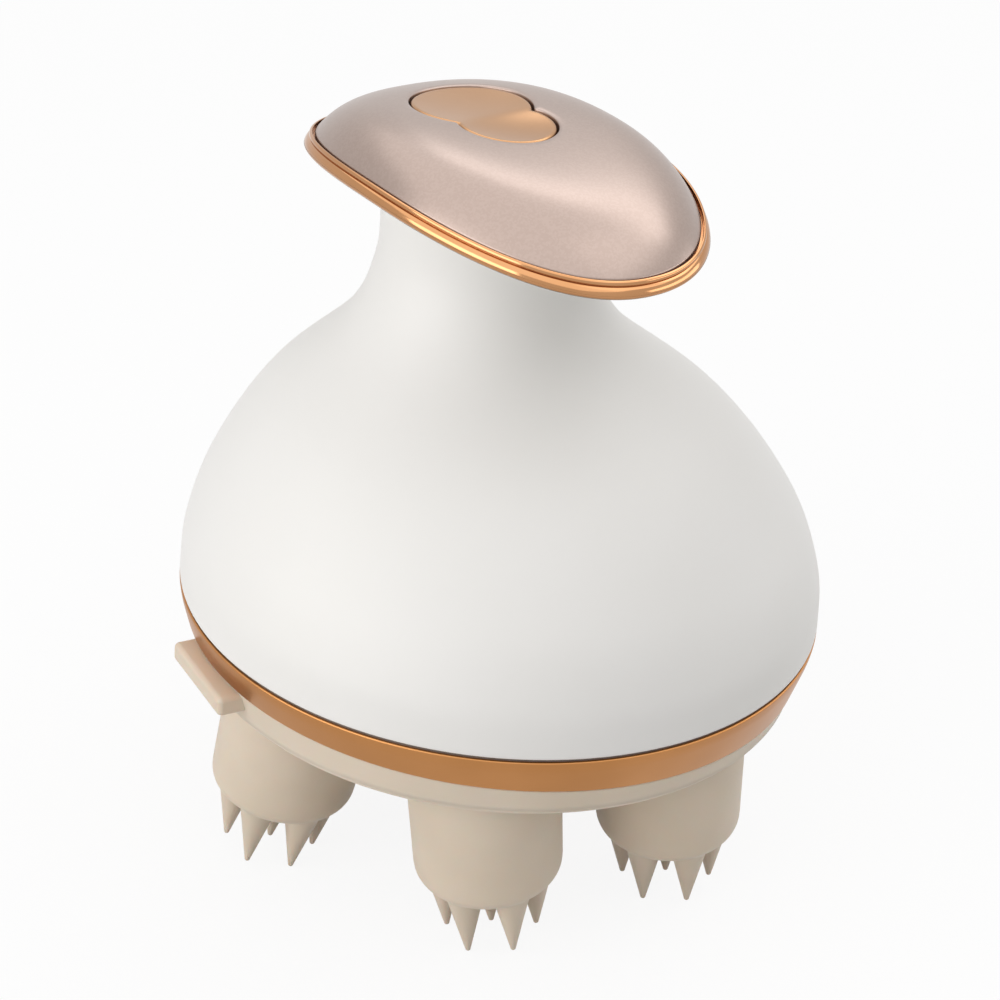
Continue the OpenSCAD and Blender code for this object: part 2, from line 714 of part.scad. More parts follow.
module switch_lead() {
    color("#2B2B2E")
        lead([[0, neck_back, board_top - board_t - 1], [0, neck_back, tray_floor_z - 3], [-11.5, 11, seam_z + 54],
              [-12.5, 10, seam_z + 47], [-15.8, 2, seam_z + 38], [-13, cell_y + 5, main_board_z + 2.2]], lead_r);
}

// ---------- massage heads ----------

crank_phase = [for (k = [1:heads]) mesh_phase(centre_teeth, centre_phase, crank_teeth, head_dir(k))];
hub_low = pivot_z + 1.2;
module crank_gear(k) {
    color(natural_pom) difference() {
        at_head(k) {
            translate([0, 0, gear_z]) spur_gear(crank_module, crank_teeth, gear_t, crank_phase[k - 1]);
            translate([0, 0, gear_z - 1.1]) cylinder(h = 1.1, r = 6.5);
            translate([0, 0, hub_low]) cylinder(h = gear_z - hub_low, r = hub_r);
        }
        on_crank(k) translate([0, 0, -1]) cylinder(h = 1 + pin_root, r = pin_r);
    }
}

// pressed into the gear from below; its head holds the carrier on
module crank_pin(k) {
    end = carrier_top + bearing_len + 0.9;
    color(steel) on_crank(k) translate([0, 0, -end]) {
        cylinder(h = end + pin_root, r = pin_r);
        cylinder(h = 0.8, r = 4.2);
    }
}

module crank_bushes() {
    color(bronze) for (k = [1:heads]) at_head(k) translate([0, 0, plate_z]) difference() {
        cylinder(h = 7.2, r = bush_r);
        translate([0, 0, -1]) cylinder(h = 10, r = hub_r + running);
    }
}

module shaft_seals() {
    color(dark_plastic) for (k = [1:heads]) at_head(k) translate([0, 0, plate_z - 1.5]) difference() {
        cylinder(h = 1.5, r = 7.8);
        translate([0, 0, -1]) cylinder(h = 4, r = hub_r + 0.1);
    }
}

carrier_r = cup_end_r - 1.6;
carrier_low = 2.1 - cup_len;
module head_carrier(k) {
    color(natural_pom) on_crank(k) difference() {
        translate([0, 0, carrier_low]) cylinder(h = -carrier_top - carrier_low, r = carrier_r);
        translate([0, 0, -carrier_top - bearing_len - 1]) cylinder(h = bearing_len + 2, r = pin_r + running);
        translate([0, 0, carrier_low + 2])
            cylinder(h = -carrier_top - bearing_len - carrier_low - 2, r = 5.2);
    }
}

// a cup's half section, from its shoulder round its end to its axis
cup_round = 2.8;
function cup_section() = concat(
    [for (h = [0.8, 0, -1, -2, -3]) [sqrt(shoulder_r ^ 2 - h ^ 2), h]],
    [[cup_r, -4]],
    [for (a = [0:15:90])
        [cup_end_r - cup_round + cup_round * cos(a), -cup_len + cup_round - cup_round * sin(a)]],
    [[0, -cup_len], [0, -cup_len + 2], [carrier_r + 0.05, -cup_len + 2], [carrier_r + 0.05, 0.8]]);

spike_foot_r = 3.3;
// a spike with a rounded tip, rooted in the cup's end
module spike(h, ring, a) {
    rotate(a) translate([ring, 0, -cup_len]) rotate_extrude($fn = 48)
        polygon([[0, 1.2], [spike_foot_r, 1.2], [0.5, 0.6 - h], [0.34, 0.2 - h], [0, -h]]);
}

module massage_cup(k) {
    color(silicone) on_crank(k) {
        rotate_extrude() polygon(cup_section());
        for (i = [0:5]) spike(spike_h, spike_ring_r, spike_turns[k - 1] + 60 * i);
        spike(spike_h - spike_short, 0, 0);
    }
}

body_shell();
seam_gasket();
base_band();
base_plate();
silicone_cover();
grip_tray();
grip_trim_ring();
grip_cover();
button_cap();
button_seal();
switch_board();
tact_switch();
tact_plunger();
grip_screws();
neck_screws();
base_screws();
gearbox_plate();
gearbox_posts();
gearbox_screws();
centre_axle();
centre_gear();
idler_axle();
idler_gear();
motor_can();
motor_end_cap();
motor_shaft();
motor_pinion();
battery_cell();
battery_holder();
main_board();
charge_socket();
battery_lead();
motor_lead();
switch_lead();
crank_bushes();
shaft_seals();
crank_gear(1);  // crank_gear_1
crank_gear(2);  // crank_gear_2
crank_gear(3);  // crank_gear_3
crank_gear(4);  // crank_gear_4
crank_gear(5);  // crank_gear_5
crank_gear(6);  // crank_gear_6
crank_pin(1);  // crank_pin_1
crank_pin(2);  // crank_pin_2
crank_pin(3);  // crank_pin_3
crank_pin(4);  // crank_pin_4
crank_pin(5);  // crank_pin_5
crank_pin(6);  // crank_pin_6
head_carrier(1);  // head_carrier_1
head_carrier(2);  // head_carrier_2
head_carrier(3);  // head_carrier_3
head_carrier(4);  // head_carrier_4
head_carrier(5);  // head_carrier_5
head_carrier(6);  // head_carrier_6
massage_cup(1);  // massage_cup_1
massage_cup(2);  // massage_cup_2
massage_cup(3);  // massage_cup_3
massage_cup(4);  // massage_cup_4
massage_cup(5);  // massage_cup_5
massage_cup(6);  // massage_cup_6
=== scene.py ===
"""Looks of an electric scalp massager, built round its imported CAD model.

Sizes are in millimetres until a mesh is made, which turns them into metres. +Z is up, the
front, where the grip has its tip, points along -Y, and the origin lies on the dome's axis in
the plane that the spike tips stand on.
"""

import logging
import math
from collections.abc import Callable, Sequence
from dataclasses import dataclass
from enum import Enum
from typing import Any

import bpy
import numpy as np
from mathutils import Matrix, Vector


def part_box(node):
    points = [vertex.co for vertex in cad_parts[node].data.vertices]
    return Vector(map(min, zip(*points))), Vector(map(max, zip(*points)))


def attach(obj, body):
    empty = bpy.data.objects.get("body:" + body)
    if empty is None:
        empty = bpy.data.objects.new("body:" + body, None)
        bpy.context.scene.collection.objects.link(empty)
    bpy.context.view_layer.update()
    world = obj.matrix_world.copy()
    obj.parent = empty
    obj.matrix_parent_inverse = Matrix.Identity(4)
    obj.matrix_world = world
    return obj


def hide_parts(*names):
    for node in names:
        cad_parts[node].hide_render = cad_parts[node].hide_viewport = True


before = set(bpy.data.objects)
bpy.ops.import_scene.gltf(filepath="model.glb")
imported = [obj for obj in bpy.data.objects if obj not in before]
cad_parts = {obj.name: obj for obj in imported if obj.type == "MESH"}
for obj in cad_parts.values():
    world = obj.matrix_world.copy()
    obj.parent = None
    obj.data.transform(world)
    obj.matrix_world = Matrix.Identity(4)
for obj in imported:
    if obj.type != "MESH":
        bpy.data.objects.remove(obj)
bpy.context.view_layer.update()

MM = 0.001
log = logging.getLogger("scalp_massager")

Tree = bpy.types.NodeTree
Socket = bpy.types.NodeSocket


def cad_height(node: str, top: bool = False) -> float:
    """Lowest height of a CAD node in mm, or its highest with top set."""
    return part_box(node)[int(top)].z / MM


SEAM_GAP = 0.2
SEAM_Z = (cad_height("seam_gasket") + cad_height("seam_gasket", top=True)) / 2

# the dome's and the band's radius at the seam, and the wall of the white mouldings
BODY_RADIUS = 52.0
SHELL_WALL = 2.2

# the neck's top circle, where the dome's moulding ends and the grip's tray starts
NECK_RADIUS = 16.8
NECK_BACK = 12.0
NECK_TOP = 62.0

# the underside of the silicone cover, and the ring of heads in it
UNDERSIDE_Z = SEAM_Z - 12.0
HEADS = range(1, 7)
HEAD_STEP = 60
HEAD_HOLE_RADIUS = 13.7


# ---------------------------------------------------------------- materials


def linear(code: str) -> tuple[float, float, float, float]:
    """Linear colour of an sRGB hex value.

    The sRGB curve is a straight line near black and a shifted power of 2.4 above it.

    Args:
        code: six hex digits after a hash sign.

    Returns:
        Red, green, blue and an alpha of 1, each on the linear scale that shaders use.
    """
    parts = np.array([int(code[i:i + 2], 16) / 255 for i in (1, 3, 5)])
    low, high = parts / 12.92, ((parts + 0.055) / 1.055) ** 2.4
    return (*np.where(parts <= 0.04045, low, high).tolist(), 1.0)


def add(tree: Tree, kind: str, inputs: dict[Any, Any] | None = None, **settings: Any) -> bpy.types.Node:
    """Adds one node to a tree.

    Args:
        tree: the node tree.
        kind: the node's type name.
        inputs: value or source socket of each input, by its name or number.
        settings: the node's own properties.

    Returns:
        The new node.
    """
    node = tree.nodes.new(kind)
    for key, value in settings.items():
        setattr(node, key, value)
    for key, value in (inputs or {}).items():
        if isinstance(value, Socket):
            tree.links.new(value, node.inputs[key])
        else:
            node.inputs[key].default_value = value
    return node


def two_tone(tree: Tree, share: Socket, low: tuple[float, str], high: tuple[float, str]) -> Socket:
    """Colour that goes from one tone to another.

    Args:
        tree: the node tree.
        share: value from 0 to 1 that picks the colour.
        low: the value up to which the first tone holds, and its hex value.
        high: the value from which the second tone holds, and its hex value.

    Returns:
        The colour's socket.
    """
    node = add(tree, "ShaderNodeValToRGB", {"Fac": share})
    for stop, (position, code) in zip(node.color_ramp.elements, (low, high)):
        stop.position = position
        stop.color = linear(code)
    return node.outputs["Color"]


@dataclass(frozen=True)
class Finish:
    """A finish with a fine grain in its surface and a soft drift in its colour and gloss.

    The grain is noise whose bumps lie grain_mm apart and stand grain_depth_mm high. The drift
    is noise of drift_mm across that goes from colour to second, both of which hold over the
    outer tone_share of its range. Noise a third as wide moves the roughness by gloss_drift
    either way.
    """

    name: str
    colour: str
    second: str
    roughness: float
    metallic: float = 0.0
    grain_mm: float = 0.6
    grain_depth_mm: float = 0.006
    drift_mm: float = 30.0
    gloss_drift: float = 0.03
    tone_share: float = 0.3
    shader: tuple[tuple[str, float], ...] = ()

    def noise(self, tree: Tree, place: Socket, size_mm: float, detail: float = 2.0) -> Socket:
        """Noise from 0 to 1 whose features are size_mm across."""
        return add(tree, "ShaderNodeTexNoise", {"Vector": place, "Scale": 1 / (size_mm * MM),
                                                "Detail": detail}).outputs["Fac"]

    def colour_of(self, tree: Tree, place: Socket) -> Socket:
        """Colour that drifts from the first to the second one."""
        return two_tone(tree, self.noise(tree, place, self.drift_mm), (self.tone_share, self.colour),
                        (1 - self.tone_share, self.second))

    def height_of(self, tree: Tree, place: Socket) -> Socket:
        """Height of the grain, from 0 to 1."""
        return self.noise(tree, place, self.grain_mm, 3.0)

    def make(self) -> bpy.types.Material:
        """Makes the material with this finish, on object coordinates in metres.

        Returns:
            A node material named after the finish.
        """
        material = bpy.data.materials.new(self.name)
        material.use_nodes = True
        tree = material.node_tree
        tree.nodes.clear()
        place = add(tree, "ShaderNodeTexCoord").outputs["Object"]
        gloss = add(tree, "ShaderNodeMapRange", {
            "Value": self.noise(tree, place, self.drift_mm / 3),
            "To Min": self.roughness - self.gloss_drift, "To Max": self.roughness + self.gloss_drift})
        bump = add(tree, "ShaderNodeBump", {"Height": self.height_of(tree, place), "Strength": 1.0,
                                            "Distance": self.grain_depth_mm * MM})
        surface = add(tree, "ShaderNodeBsdfPrincipled", {
            "Base Color": self.colour_of(tree, place), "Roughness": gloss.outputs["Result"],
            "Metallic": self.metallic, "Normal": bump.outputs["Normal"], **dict(self.shader)})
        add(tree, "ShaderNodeOutputMaterial", {"Surface": surface.outputs["BSDF"]})
        material.diffuse_color = linear(self.colour)
        return material


@dataclass(frozen=True)
class Speckled(Finish):
    """A finish with round specks of the second colour, such as flakes in lacquer or pores in bronze.

    The specks lie in cells speck_mm apart. The share speck_share of the cells has the full
    second colour, and over the next speck_fade of them it goes over to the first.
    """

    speck_mm: float = 0.5
    speck_share: float = 0.3
    speck_fade: float = 0.35

    def colour_of(self, tree: Tree, place: Socket) -> Socket:
        """First colour, with specks where a cell has a low random value.

        Args:
            tree: the node tree.
            place: object coordinates, in metres.

        Returns:
            The colour's socket.
        """
        cells = add(tree, "ShaderNodeTexVoronoi", {"Vector": place, "Scale": 1 / (self.speck_mm * MM)})
        value = add(tree, "ShaderNodeSeparateColor", {"Color": cells.outputs["Color"]})
        return two_tone(tree, value.outputs["Red"], (self.speck_share, self.second),
                        (self.speck_share + self.speck_fade, self.colour))


@dataclass(frozen=True)
class Turned(Finish):
    """A metal turned or drawn along its axis: the grain is fine rings stacked along Z.

    The noise of the grain is stretched sideways by 1 over squash, so that it reads as the
    marks of a tool that went round the axis.
    """

    squash: float = 0.04

    def height_of(self, tree: Tree, place: Socket) -> Socket:
        """Height of the grain's rings, from 0 to 1."""
        squashed = add(tree, "ShaderNodeMapping", {"Vector": place, "Scale": (self.squash, self.squash, 1.0)})
        return self.noise(tree, squashed.outputs["Vector"], self.grain_mm, 4.0)


@dataclass(frozen=True)
class SolderMask(Finish):
    """A printed board: copper tracks a little proud under a green mask.

    The tracks are bricks track_mm high, and the joints between them are the gaps, at
    gap_share of a brick.
    """

    track_mm: float = 1.2
    gap_share: float = 0.03

    def height_of(self, tree: Tree, place: Socket) -> Socket:
        """Height of the tracks, 0 or 1."""
        bricks = {"Vector": place, "Scale": 1 / (self.track_mm * MM), "Mortar Size": self.gap_share}
        return add(tree, "ShaderNodeTexBrick", bricks).outputs["Fac"]


class Look(Enum):
    """The massager's finishes, each by what it is made of and how."""

    # moulded ABS under a satin clear coat: soft broad highlights, no visible grain
    WHITE_ABS = Finish("white_abs_satin_coated", "#EFEDEA", "#ECEAE6", 0.5, grain_mm=0.8,
                       grain_depth_mm=0.004, drift_mm=45, shader=(("IOR", 1.5),))
    # ABS plated rose gold and left satin: the band, with a broad soft shine along it
    SATIN_ROSE_GOLD = Finish("rose_gold_plating_satin", "#B98250", "#AC7746", 0.34, metallic=1.0,
                             grain_mm=0.35, grain_depth_mm=0.003, drift_mm=18)
    # the same plating over a polished moulding: the trim, with thin bright lines
    BRIGHT_ROSE_GOLD = Finish("rose_gold_plating_polished", "#C08E64", "#B6845A", 0.12, metallic=1.0,
                              grain_mm=1.2, grain_depth_mm=0.002, drift_mm=14, gloss_drift=0.02)
    # metallic lacquer on moulded ABS: fine flakes under a clear coat, drawn 0.3 mm wide to show
    CHAMPAGNE = Speckled("champagne_metallic_lacquer", "#A18F86", "#A5938A", 0.3, metallic=0.8,
                         grain_mm=0.5, grain_depth_mm=0.0015, drift_mm=30, speck_mm=0.3,
                         shader=(("Coat Weight", 0.1), ("Coat Roughness", 0.15)))
    # plated ABS with a satin face: the button, which shows its hollows by blurred reflections
    BUTTON_GOLD = Finish("button_plating_satin", "#B38963", "#AC825C", 0.25, metallic=1.0,
                         grain_mm=0.5, grain_depth_mm=0.001, drift_mm=14, gloss_drift=0.015)
    # moulded silicone with a matte mould face: soft, slightly translucent, no sharp highlight
    SILICONE = Finish("silicone_matte_moulded", "#E1D1BD", "#DACAB5", 0.56, grain_mm=0.7,
                      grain_depth_mm=0.012, drift_mm=16, gloss_drift=0.05,
                      shader=(("IOR", 1.41), ("Subsurface Weight", 0.2), ("Subsurface Scale", 0.0015),
                              ("Sheen Weight", 0.15)))
    # natural acetal, moulded: waxy, off-white gears and plates
    ACETAL = Finish("acetal_natural_moulded", "#E7E2D5", "#DFD9CA", 0.42, grain_mm=1.0, drift_mm=10,
                    shader=(("IOR", 1.48), ("Subsurface Weight", 0.1), ("Subsurface Scale", 0.001)))
    # dark ABS with a spark-eroded face: an even, dull grain
    DARK_ABS = Finish("dark_abs_textured", "#2E2E30", "#28282A", 0.52, grain_mm=0.5,
                      grain_depth_mm=0.02, drift_mm=12)
    # nitrile rubber seals: nearly black, without a highlight
    BLACK_RUBBER = Finish("nitrile_rubber_moulded", "#2A2A2B", "#222223", 0.68, grain_mm=0.4,
                          grain_depth_mm=0.02, drift_mm=8)
    # thermoplastic rubber in the seam: a soft grey-brown hairline
    GREY_RUBBER = Finish("tpe_gasket_grey", "#6E645D", "#665C55", 0.6, grain_mm=0.4, grain_depth_mm=0.01,
                         drift_mm=8)
    # zinc-plated and ground steel: a cool shine, drawn out by fine rings
    STEEL = Turned("steel_ground", "#B4B7BA", "#A3A6A9", 0.3, metallic=1.0, grain_mm=0.4,
                   grain_depth_mm=0.004, drift_mm=6)
    # sintered bronze: its pores show as dark specks
    SINTERED_BRONZE = Speckled("bronze_sintered", "#A9793F", "#7C5527", 0.42, metallic=1.0,
                               grain_mm=0.4, grain_depth_mm=0.012, speck_mm=0.35, speck_share=0.2)
    # glass-epoxy board under green solder mask: a clear gloss over raised tracks
    BOARD = SolderMask("solder_mask_green", "#1F5A37", "#256841", 0.34, grain_depth_mm=0.05, drift_mm=9,
                       shader=(("Coat Weight", 0.4), ("Coat Roughness", 0.15)))
    # shrunk PVC sleeve of the battery cell: glossy and faintly wavy
    SHRINK_SLEEVE = Finish("pvc_sleeve_blue", "#35597A", "#2F506E", 0.3, grain_mm=2.5,
                           grain_depth_mm=0.03, drift_mm=20)
    # extruded PVC insulation: smooth, with a soft gloss
    RED_WIRE = Finish("pvc_wire_red", "#A5322C", "#962B26", 0.38, grain_mm=0.5, drift_mm=6)
    DARK_WIRE = Finish("pvc_wire_black", "#262629", "#202023", 0.38, grain_mm=0.5, drift_mm=6)

    def material(self) -> bpy.types.Material:
        """The finish's material, made the first time that it is asked for."""
        return bpy.data.materials.get(self.value.name) or self.value.make()


# ---------------------------------------------------------------- surfaces


def turn(count: int) -> np.ndarray:
    """Angles of a full turn in equal steps, in radians, without the last one."""
    return np.linspace(0, 2 * math.pi, count, endpoint=False)


def toward(azimuth: float, elevation: float = 0.0) -> Vector:
    """Unit vector at an azimuth from the front, -Y, towards +X, and an elevation, in degrees."""
    a, e = math.radians(azimuth), math.radians(elevation)
    return Vector((math.sin(a) * math.cos(e), -math.cos(a) * math.cos(e), math.sin(e)))


def round_corners(corners: np.ndarray, radii: Sequence[float], steps: int = 7) -> np.ndarray:
    """Rounds the corners of closed outlines.

    Each corner becomes the quadratic curve that leaves one side and joins the next at its
    radius from the corner, with the corner as its middle control point.

    Args:
        corners: outlines of n corners, as an array (..., n, 2).
        radii: the n distances from each corner to where its curve starts.
        steps: points in each curve.

    Returns:
        Array (..., n * steps, 2).
    """
    reach = np.asarray(radii, float)[:, None]
    before, after = np.roll(corners, 1, -2) - corners, np.roll(corners, -1, -2) - corners
    start = corners + reach * before / np.linalg.norm(before, axis=-1, keepdims=True)
    end = corners + reach * after / np.linalg.norm(after, axis=-1, keepdims=True)
    t = np.linspace(0, 1, steps)[:, None]
    curve = ((1 - t) ** 2 * start[..., None, :] + 2 * t * (1 - t) * corners[..., None, :]
             + t ** 2 * end[..., None, :])
    return curve.reshape(*corners.shape[:-2], -1, 2)


def lathe(profile: np.ndarray, columns: int = 160) -> np.ndarray:
    """Turns a profile round Z: each of its points becomes a circle.

    Args:
        profile: rows of radius and height.
        columns: points in each circle.

    Returns:
        Array (rows, columns, 3).
    """
    a = turn(columns)
    r, z = profile[:, :1], profile[:, 1:]
    return np.stack([r * np.cos(a), r * np.sin(a), z + 0 * a], -1)


def hermite(p0: np.ndarray, p1: np.ndarray, m0: np.ndarray, m1: np.ndarray, t: np.ndarray) -> np.ndarray:
    """Cubic curve from p0 to p1 that leaves along m0 and arrives along m1, at shares t of its way."""
    return ((2 * t ** 3 - 3 * t ** 2 + 1) * p0 + (t ** 3 - 2 * t ** 2 + t) * m0
            + (3 * t ** 2 - 2 * t ** 3) * p1 + (t ** 3 - t ** 2) * m1)


def level(places: np.ndarray, height: float | np.ndarray) -> np.ndarray:
    """Gives places (..., 2) a height, one for all or one for each."""
    return np.concatenate([places, np.broadcast_to(height, places.shape[:-1])[..., None]], -1)


@dataclass
class Skin:
    """A closed surface through a stack of rings, all with the same number of points.

    The points are an array (rings, points of a ring, 3). A looped skin joins its last ring to
    its first; any other is closed at both ends by a fan about the ring's middle.
    """

    points: np.ndarray
    looped: bool = True

    def faces(self) -> np.ndarray:
        """Triangles between neighbouring rings, and those of the two end fans.

        Returns:
            Array (triangles, 3) of places in the list that corners gives.
        """
        rows, columns = self.points.shape[:2]
        joined = rows if self.looped else rows - 1
        i, j = np.meshgrid(np.arange(joined), np.arange(columns), indexing="ij")
        a, b = i * columns + j, i * columns + (j + 1) % columns
        c, d = (i + 1) % rows * columns + j, (i + 1) % rows * columns + (j + 1) % columns
        parts = [np.stack([a, b, d], -1).reshape(-1, 3), np.stack([a, d, c], -1).reshape(-1, 3)]
        if not self.looped:
            k, after = np.arange(columns), (np.arange(columns) + 1) % columns
            last, middle = (rows - 1) * columns, np.full(columns, rows * columns)
            parts.append(np.stack([after, k, middle], -1))
            parts.append(np.stack([last + k, last + after, middle + 1], -1))
        return np.concatenate(parts)

    def corners(self) -> np.ndarray:
        """All points as one list, with the middles of the end rings last."""
        flat = self.points.reshape(-1, 3)
        return flat if self.looped else np.concatenate([flat, self.points[[0, -1]].mean(1)])

    def oriented(self) -> tuple[np.ndarray, np.ndarray]:
        """Turns the triangles round where they would enclose a negative volume.

        Returns:
            The points, and the triangles facing outwards.
        """
        points, faces = self.corners(), self.faces()
        a, b, c = (points[faces[:, k]] for k in range(3))
        volume = np.einsum("ij,ij->", a, np.cross(b, c))
        return points, faces if volume > 0 else faces[:, ::-1]


def finish_mesh(mesh: bpy.types.Mesh, look: Look, sharp: float) -> None:
    """Gives a mesh its one material and its smooth shading.

    Args:
        mesh: the mesh.
        look: the finish that its material has.
        sharp: angle between faces, in degrees, above which their edge is drawn sharp.
    """
    mesh.materials.clear()
    mesh.materials.append(look.material())
    mesh.shade_smooth()
    mesh.set_sharp_from_angle(angle=math.radians(sharp))


def make_piece(name: str, skins: Sequence[Skin], look: Look, sharp: float = 50.0) -> bpy.types.Object:
    """Makes one mesh object of closed skins.

    Args:
        name: the piece's name.
        skins: its skins, in millimetres.
        look: its finish.
        sharp: angle between faces, in degrees, above which their edge is drawn sharp.

    Returns:
        The object, at the origin, with its place in its mesh.
    """
    points, faces, start = [], [], 0
    for skin in skins:
        found, corners = skin.oriented()
        points.append(found)
        faces.append(corners + start)
        start += len(found)
    mesh = bpy.data.meshes.new(name)
    mesh.from_pydata(np.concatenate(points) * MM, [], np.concatenate(faces))
    finish_mesh(mesh, look, sharp)
    piece = bpy.data.objects.new(name, mesh)
    bpy.context.scene.collection.objects.link(piece)
    log.info("%s: %d triangles", name, len(mesh.polygons))
    return piece


def cut(piece: bpy.types.Object, skins: Sequence[Skin], look: Look, sharp: float = 50.0) -> None:
    """Cuts closed skins out of a piece and keeps the result as its mesh.

    Args:
        piece: the object that is cut.
        skins: the skins that are taken out of it.
        look: the finish of the piece and of the cut.
        sharp: angle between faces, in degrees, above which their edge is drawn sharp.
    """
    tool = make_piece("cutter", skins, look)
    change = piece.modifiers.new("cut", "BOOLEAN")
    change.operation = "DIFFERENCE"
    change.solver = "EXACT"
    change.object = tool
    graph = bpy.context.evaluated_depsgraph_get()
    mesh = bpy.data.meshes.new_from_object(piece.evaluated_get(graph))
    piece.modifiers.clear()
    piece.data = mesh
    mesh.polygons.foreach_set("material_index", np.zeros(len(mesh.polygons), np.int32))
    finish_mesh(mesh, look, sharp)
    bpy.data.objects.remove(tool)


def put(piece: bpy.types.Object, body: str, slot: str, *nodes: str) -> None:
    """Hangs a piece on a body and hides the CAD nodes that it stands for.

    Args:
        piece: the piece.
        body: the body that it moves with.
        slot: not used.
        nodes: the CAD nodes that it replaces.
    """
    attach(piece, body)
    if nodes:
        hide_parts(*nodes)


# ---------------------------------------------------------------- body


@dataclass
class Dome:
    """The white dome and its neck, one moulding that opens downwards at the seam.

    Its rings are circles. Their radius and how far their middle lies behind the axis follow
    smooth cubic pieces through the stations, each given by its height above the seam.
    """

    # the moulding
    radius: float = BODY_RADIUS
    lip_round: float = 0.5
    columns: int = 192
    outer_rows: int = 90
    inner_rows: int = 60
    # the hole for the charging socket: height over the seam, radius, and reach from the axis
    socket_height: float = 9.0
    socket_hole: float = 4.3
    socket_reach: tuple[float, float] = (40.0, 60.0)
    # the screw bosses: their ring, the first one's azimuth, and how far they hang below the seam
    boss_ring: float = 43.2
    boss_turn: float = 80.0
    boss_bore: float = 1.1
    boss_radius: float = 3.2
    boss_height: float = 10.0
    boss_drop: float = 6.0
    boss_round: float = 0.2

    def stations(self) -> np.ndarray:
        """Rows of height, radius and distance behind the axis."""
        r, n, b = self.radius, NECK_RADIUS, NECK_BACK
        return np.array([[0, r, 0], [8, r - 0.8, 0.4], [18, r - 4.8, 1.6], [30, 0.73 * r, 4.5],
                         [42, 0.435 * r, 9.2], [52, n + 0.5, b - 0.5], [NECK_TOP, n, b]])

    def through(self, height: np.ndarray) -> np.ndarray:
        """Follows the cubic pieces, whose slope at a station is that between its two neighbours.

        Args:
            height: heights above the seam, as an array (n,).

        Returns:
            Array (n, 2) of radius and distance behind the axis.
        """
        st = self.stations()
        last = len(st) - 1
        before, after = np.maximum(np.arange(last + 1) - 1, 0), np.minimum(np.arange(last + 1) + 1, last)
        slope = (st[after, 1:] - st[before, 1:]) / (st[after, :1] - st[before, :1])
        i = np.clip(np.searchsorted(st[:, 0], height, side="right") - 1, 0, last - 1)
        span = (st[i + 1, 0] - st[i, 0])[:, None]
        return hermite(st[i, 1:], st[i + 1, 1:], slope[i] * span, slope[i + 1] * span,
                       (height - st[i, 0])[:, None] / span)

    def rings(self, heights: np.ndarray, inset: float | np.ndarray) -> np.ndarray:
        """Draws the dome's circles.

        Args:
            heights: heights above the seam, as an array (n,).
            inset: how far inside the dome's outer face they lie, one for all or one for each.

        Returns:
            Array (n, columns, 3).
        """
        line = self.through(heights)
        a = turn(self.columns)
        r = line[:, :1] - np.broadcast_to(inset, heights.shape)[:, None]
        return np.stack([r * np.cos(a), line[:, 1:] + r * np.sin(a), SEAM_Z + heights[:, None] + 0 * a], -1)

    def skin(self) -> Skin:
        """Lays the rounded lower lip, the outer wall, the flat top edge and the inner wall.

        The lip is a quarter circle from the seam up to the wall.

        Returns:
            The dome as one looped skin.
        """
        t = np.linspace(math.pi / 2, 0, 5)
        low = SEAM_GAP + self.lip_round * (1 - np.sin(t))
        low_inset = self.lip_round * (1 - np.cos(t))
        heights = np.linspace(SEAM_GAP + 2 * self.lip_round, NECK_TOP, self.outer_rows)
        inner = np.linspace(NECK_TOP, SEAM_GAP, self.inner_rows)
        return Skin(np.concatenate([self.rings(low, low_inset), self.rings(heights, 0.0),
                                    self.rings(inner, SHELL_WALL)]))

    def bosses(self) -> list[Skin]:
        """The six screw bosses inside the seam, each a tube with rounded edges.

        Returns:
            Their skins, in place.
        """
        bore, radius, height = self.boss_bore, self.boss_radius, self.boss_height
        outline = np.array([[bore, 0], [radius, 0], [radius, height], [bore, height]])
        tube = lathe(round_corners(outline, [self.boss_round] * 4, 4), 40)
        around = np.radians([self.boss_turn + HEAD_STEP * k for k in HEADS])
        return [Skin(tube + np.array([self.boss_ring * math.cos(a), self.boss_ring * math.sin(a),
                                      SEAM_Z - self.boss_drop])) for a in around]

    def build(self) -> None:
        """Makes the dome with its socket hole, which is bored from behind, and its bosses."""
        shell = make_piece("dome_and_neck", [self.skin()], Look.WHITE_ABS)
        hole = lathe(np.array([[self.socket_hole, reach] for reach in self.socket_reach]), 64)
        hole = np.stack([hole[..., 0], hole[..., 2], SEAM_Z + self.socket_height + hole[..., 1]], -1)
        cut(shell, [Skin(hole, looped=False)], Look.WHITE_ABS, 35)
        put(shell, "housing", "white_abs", "body_shell")
        put(make_piece("dome_screw_bosses", self.bosses(), Look.WHITE_ABS), "housing", "white_abs")


# ---------------------------------------------------------------- base


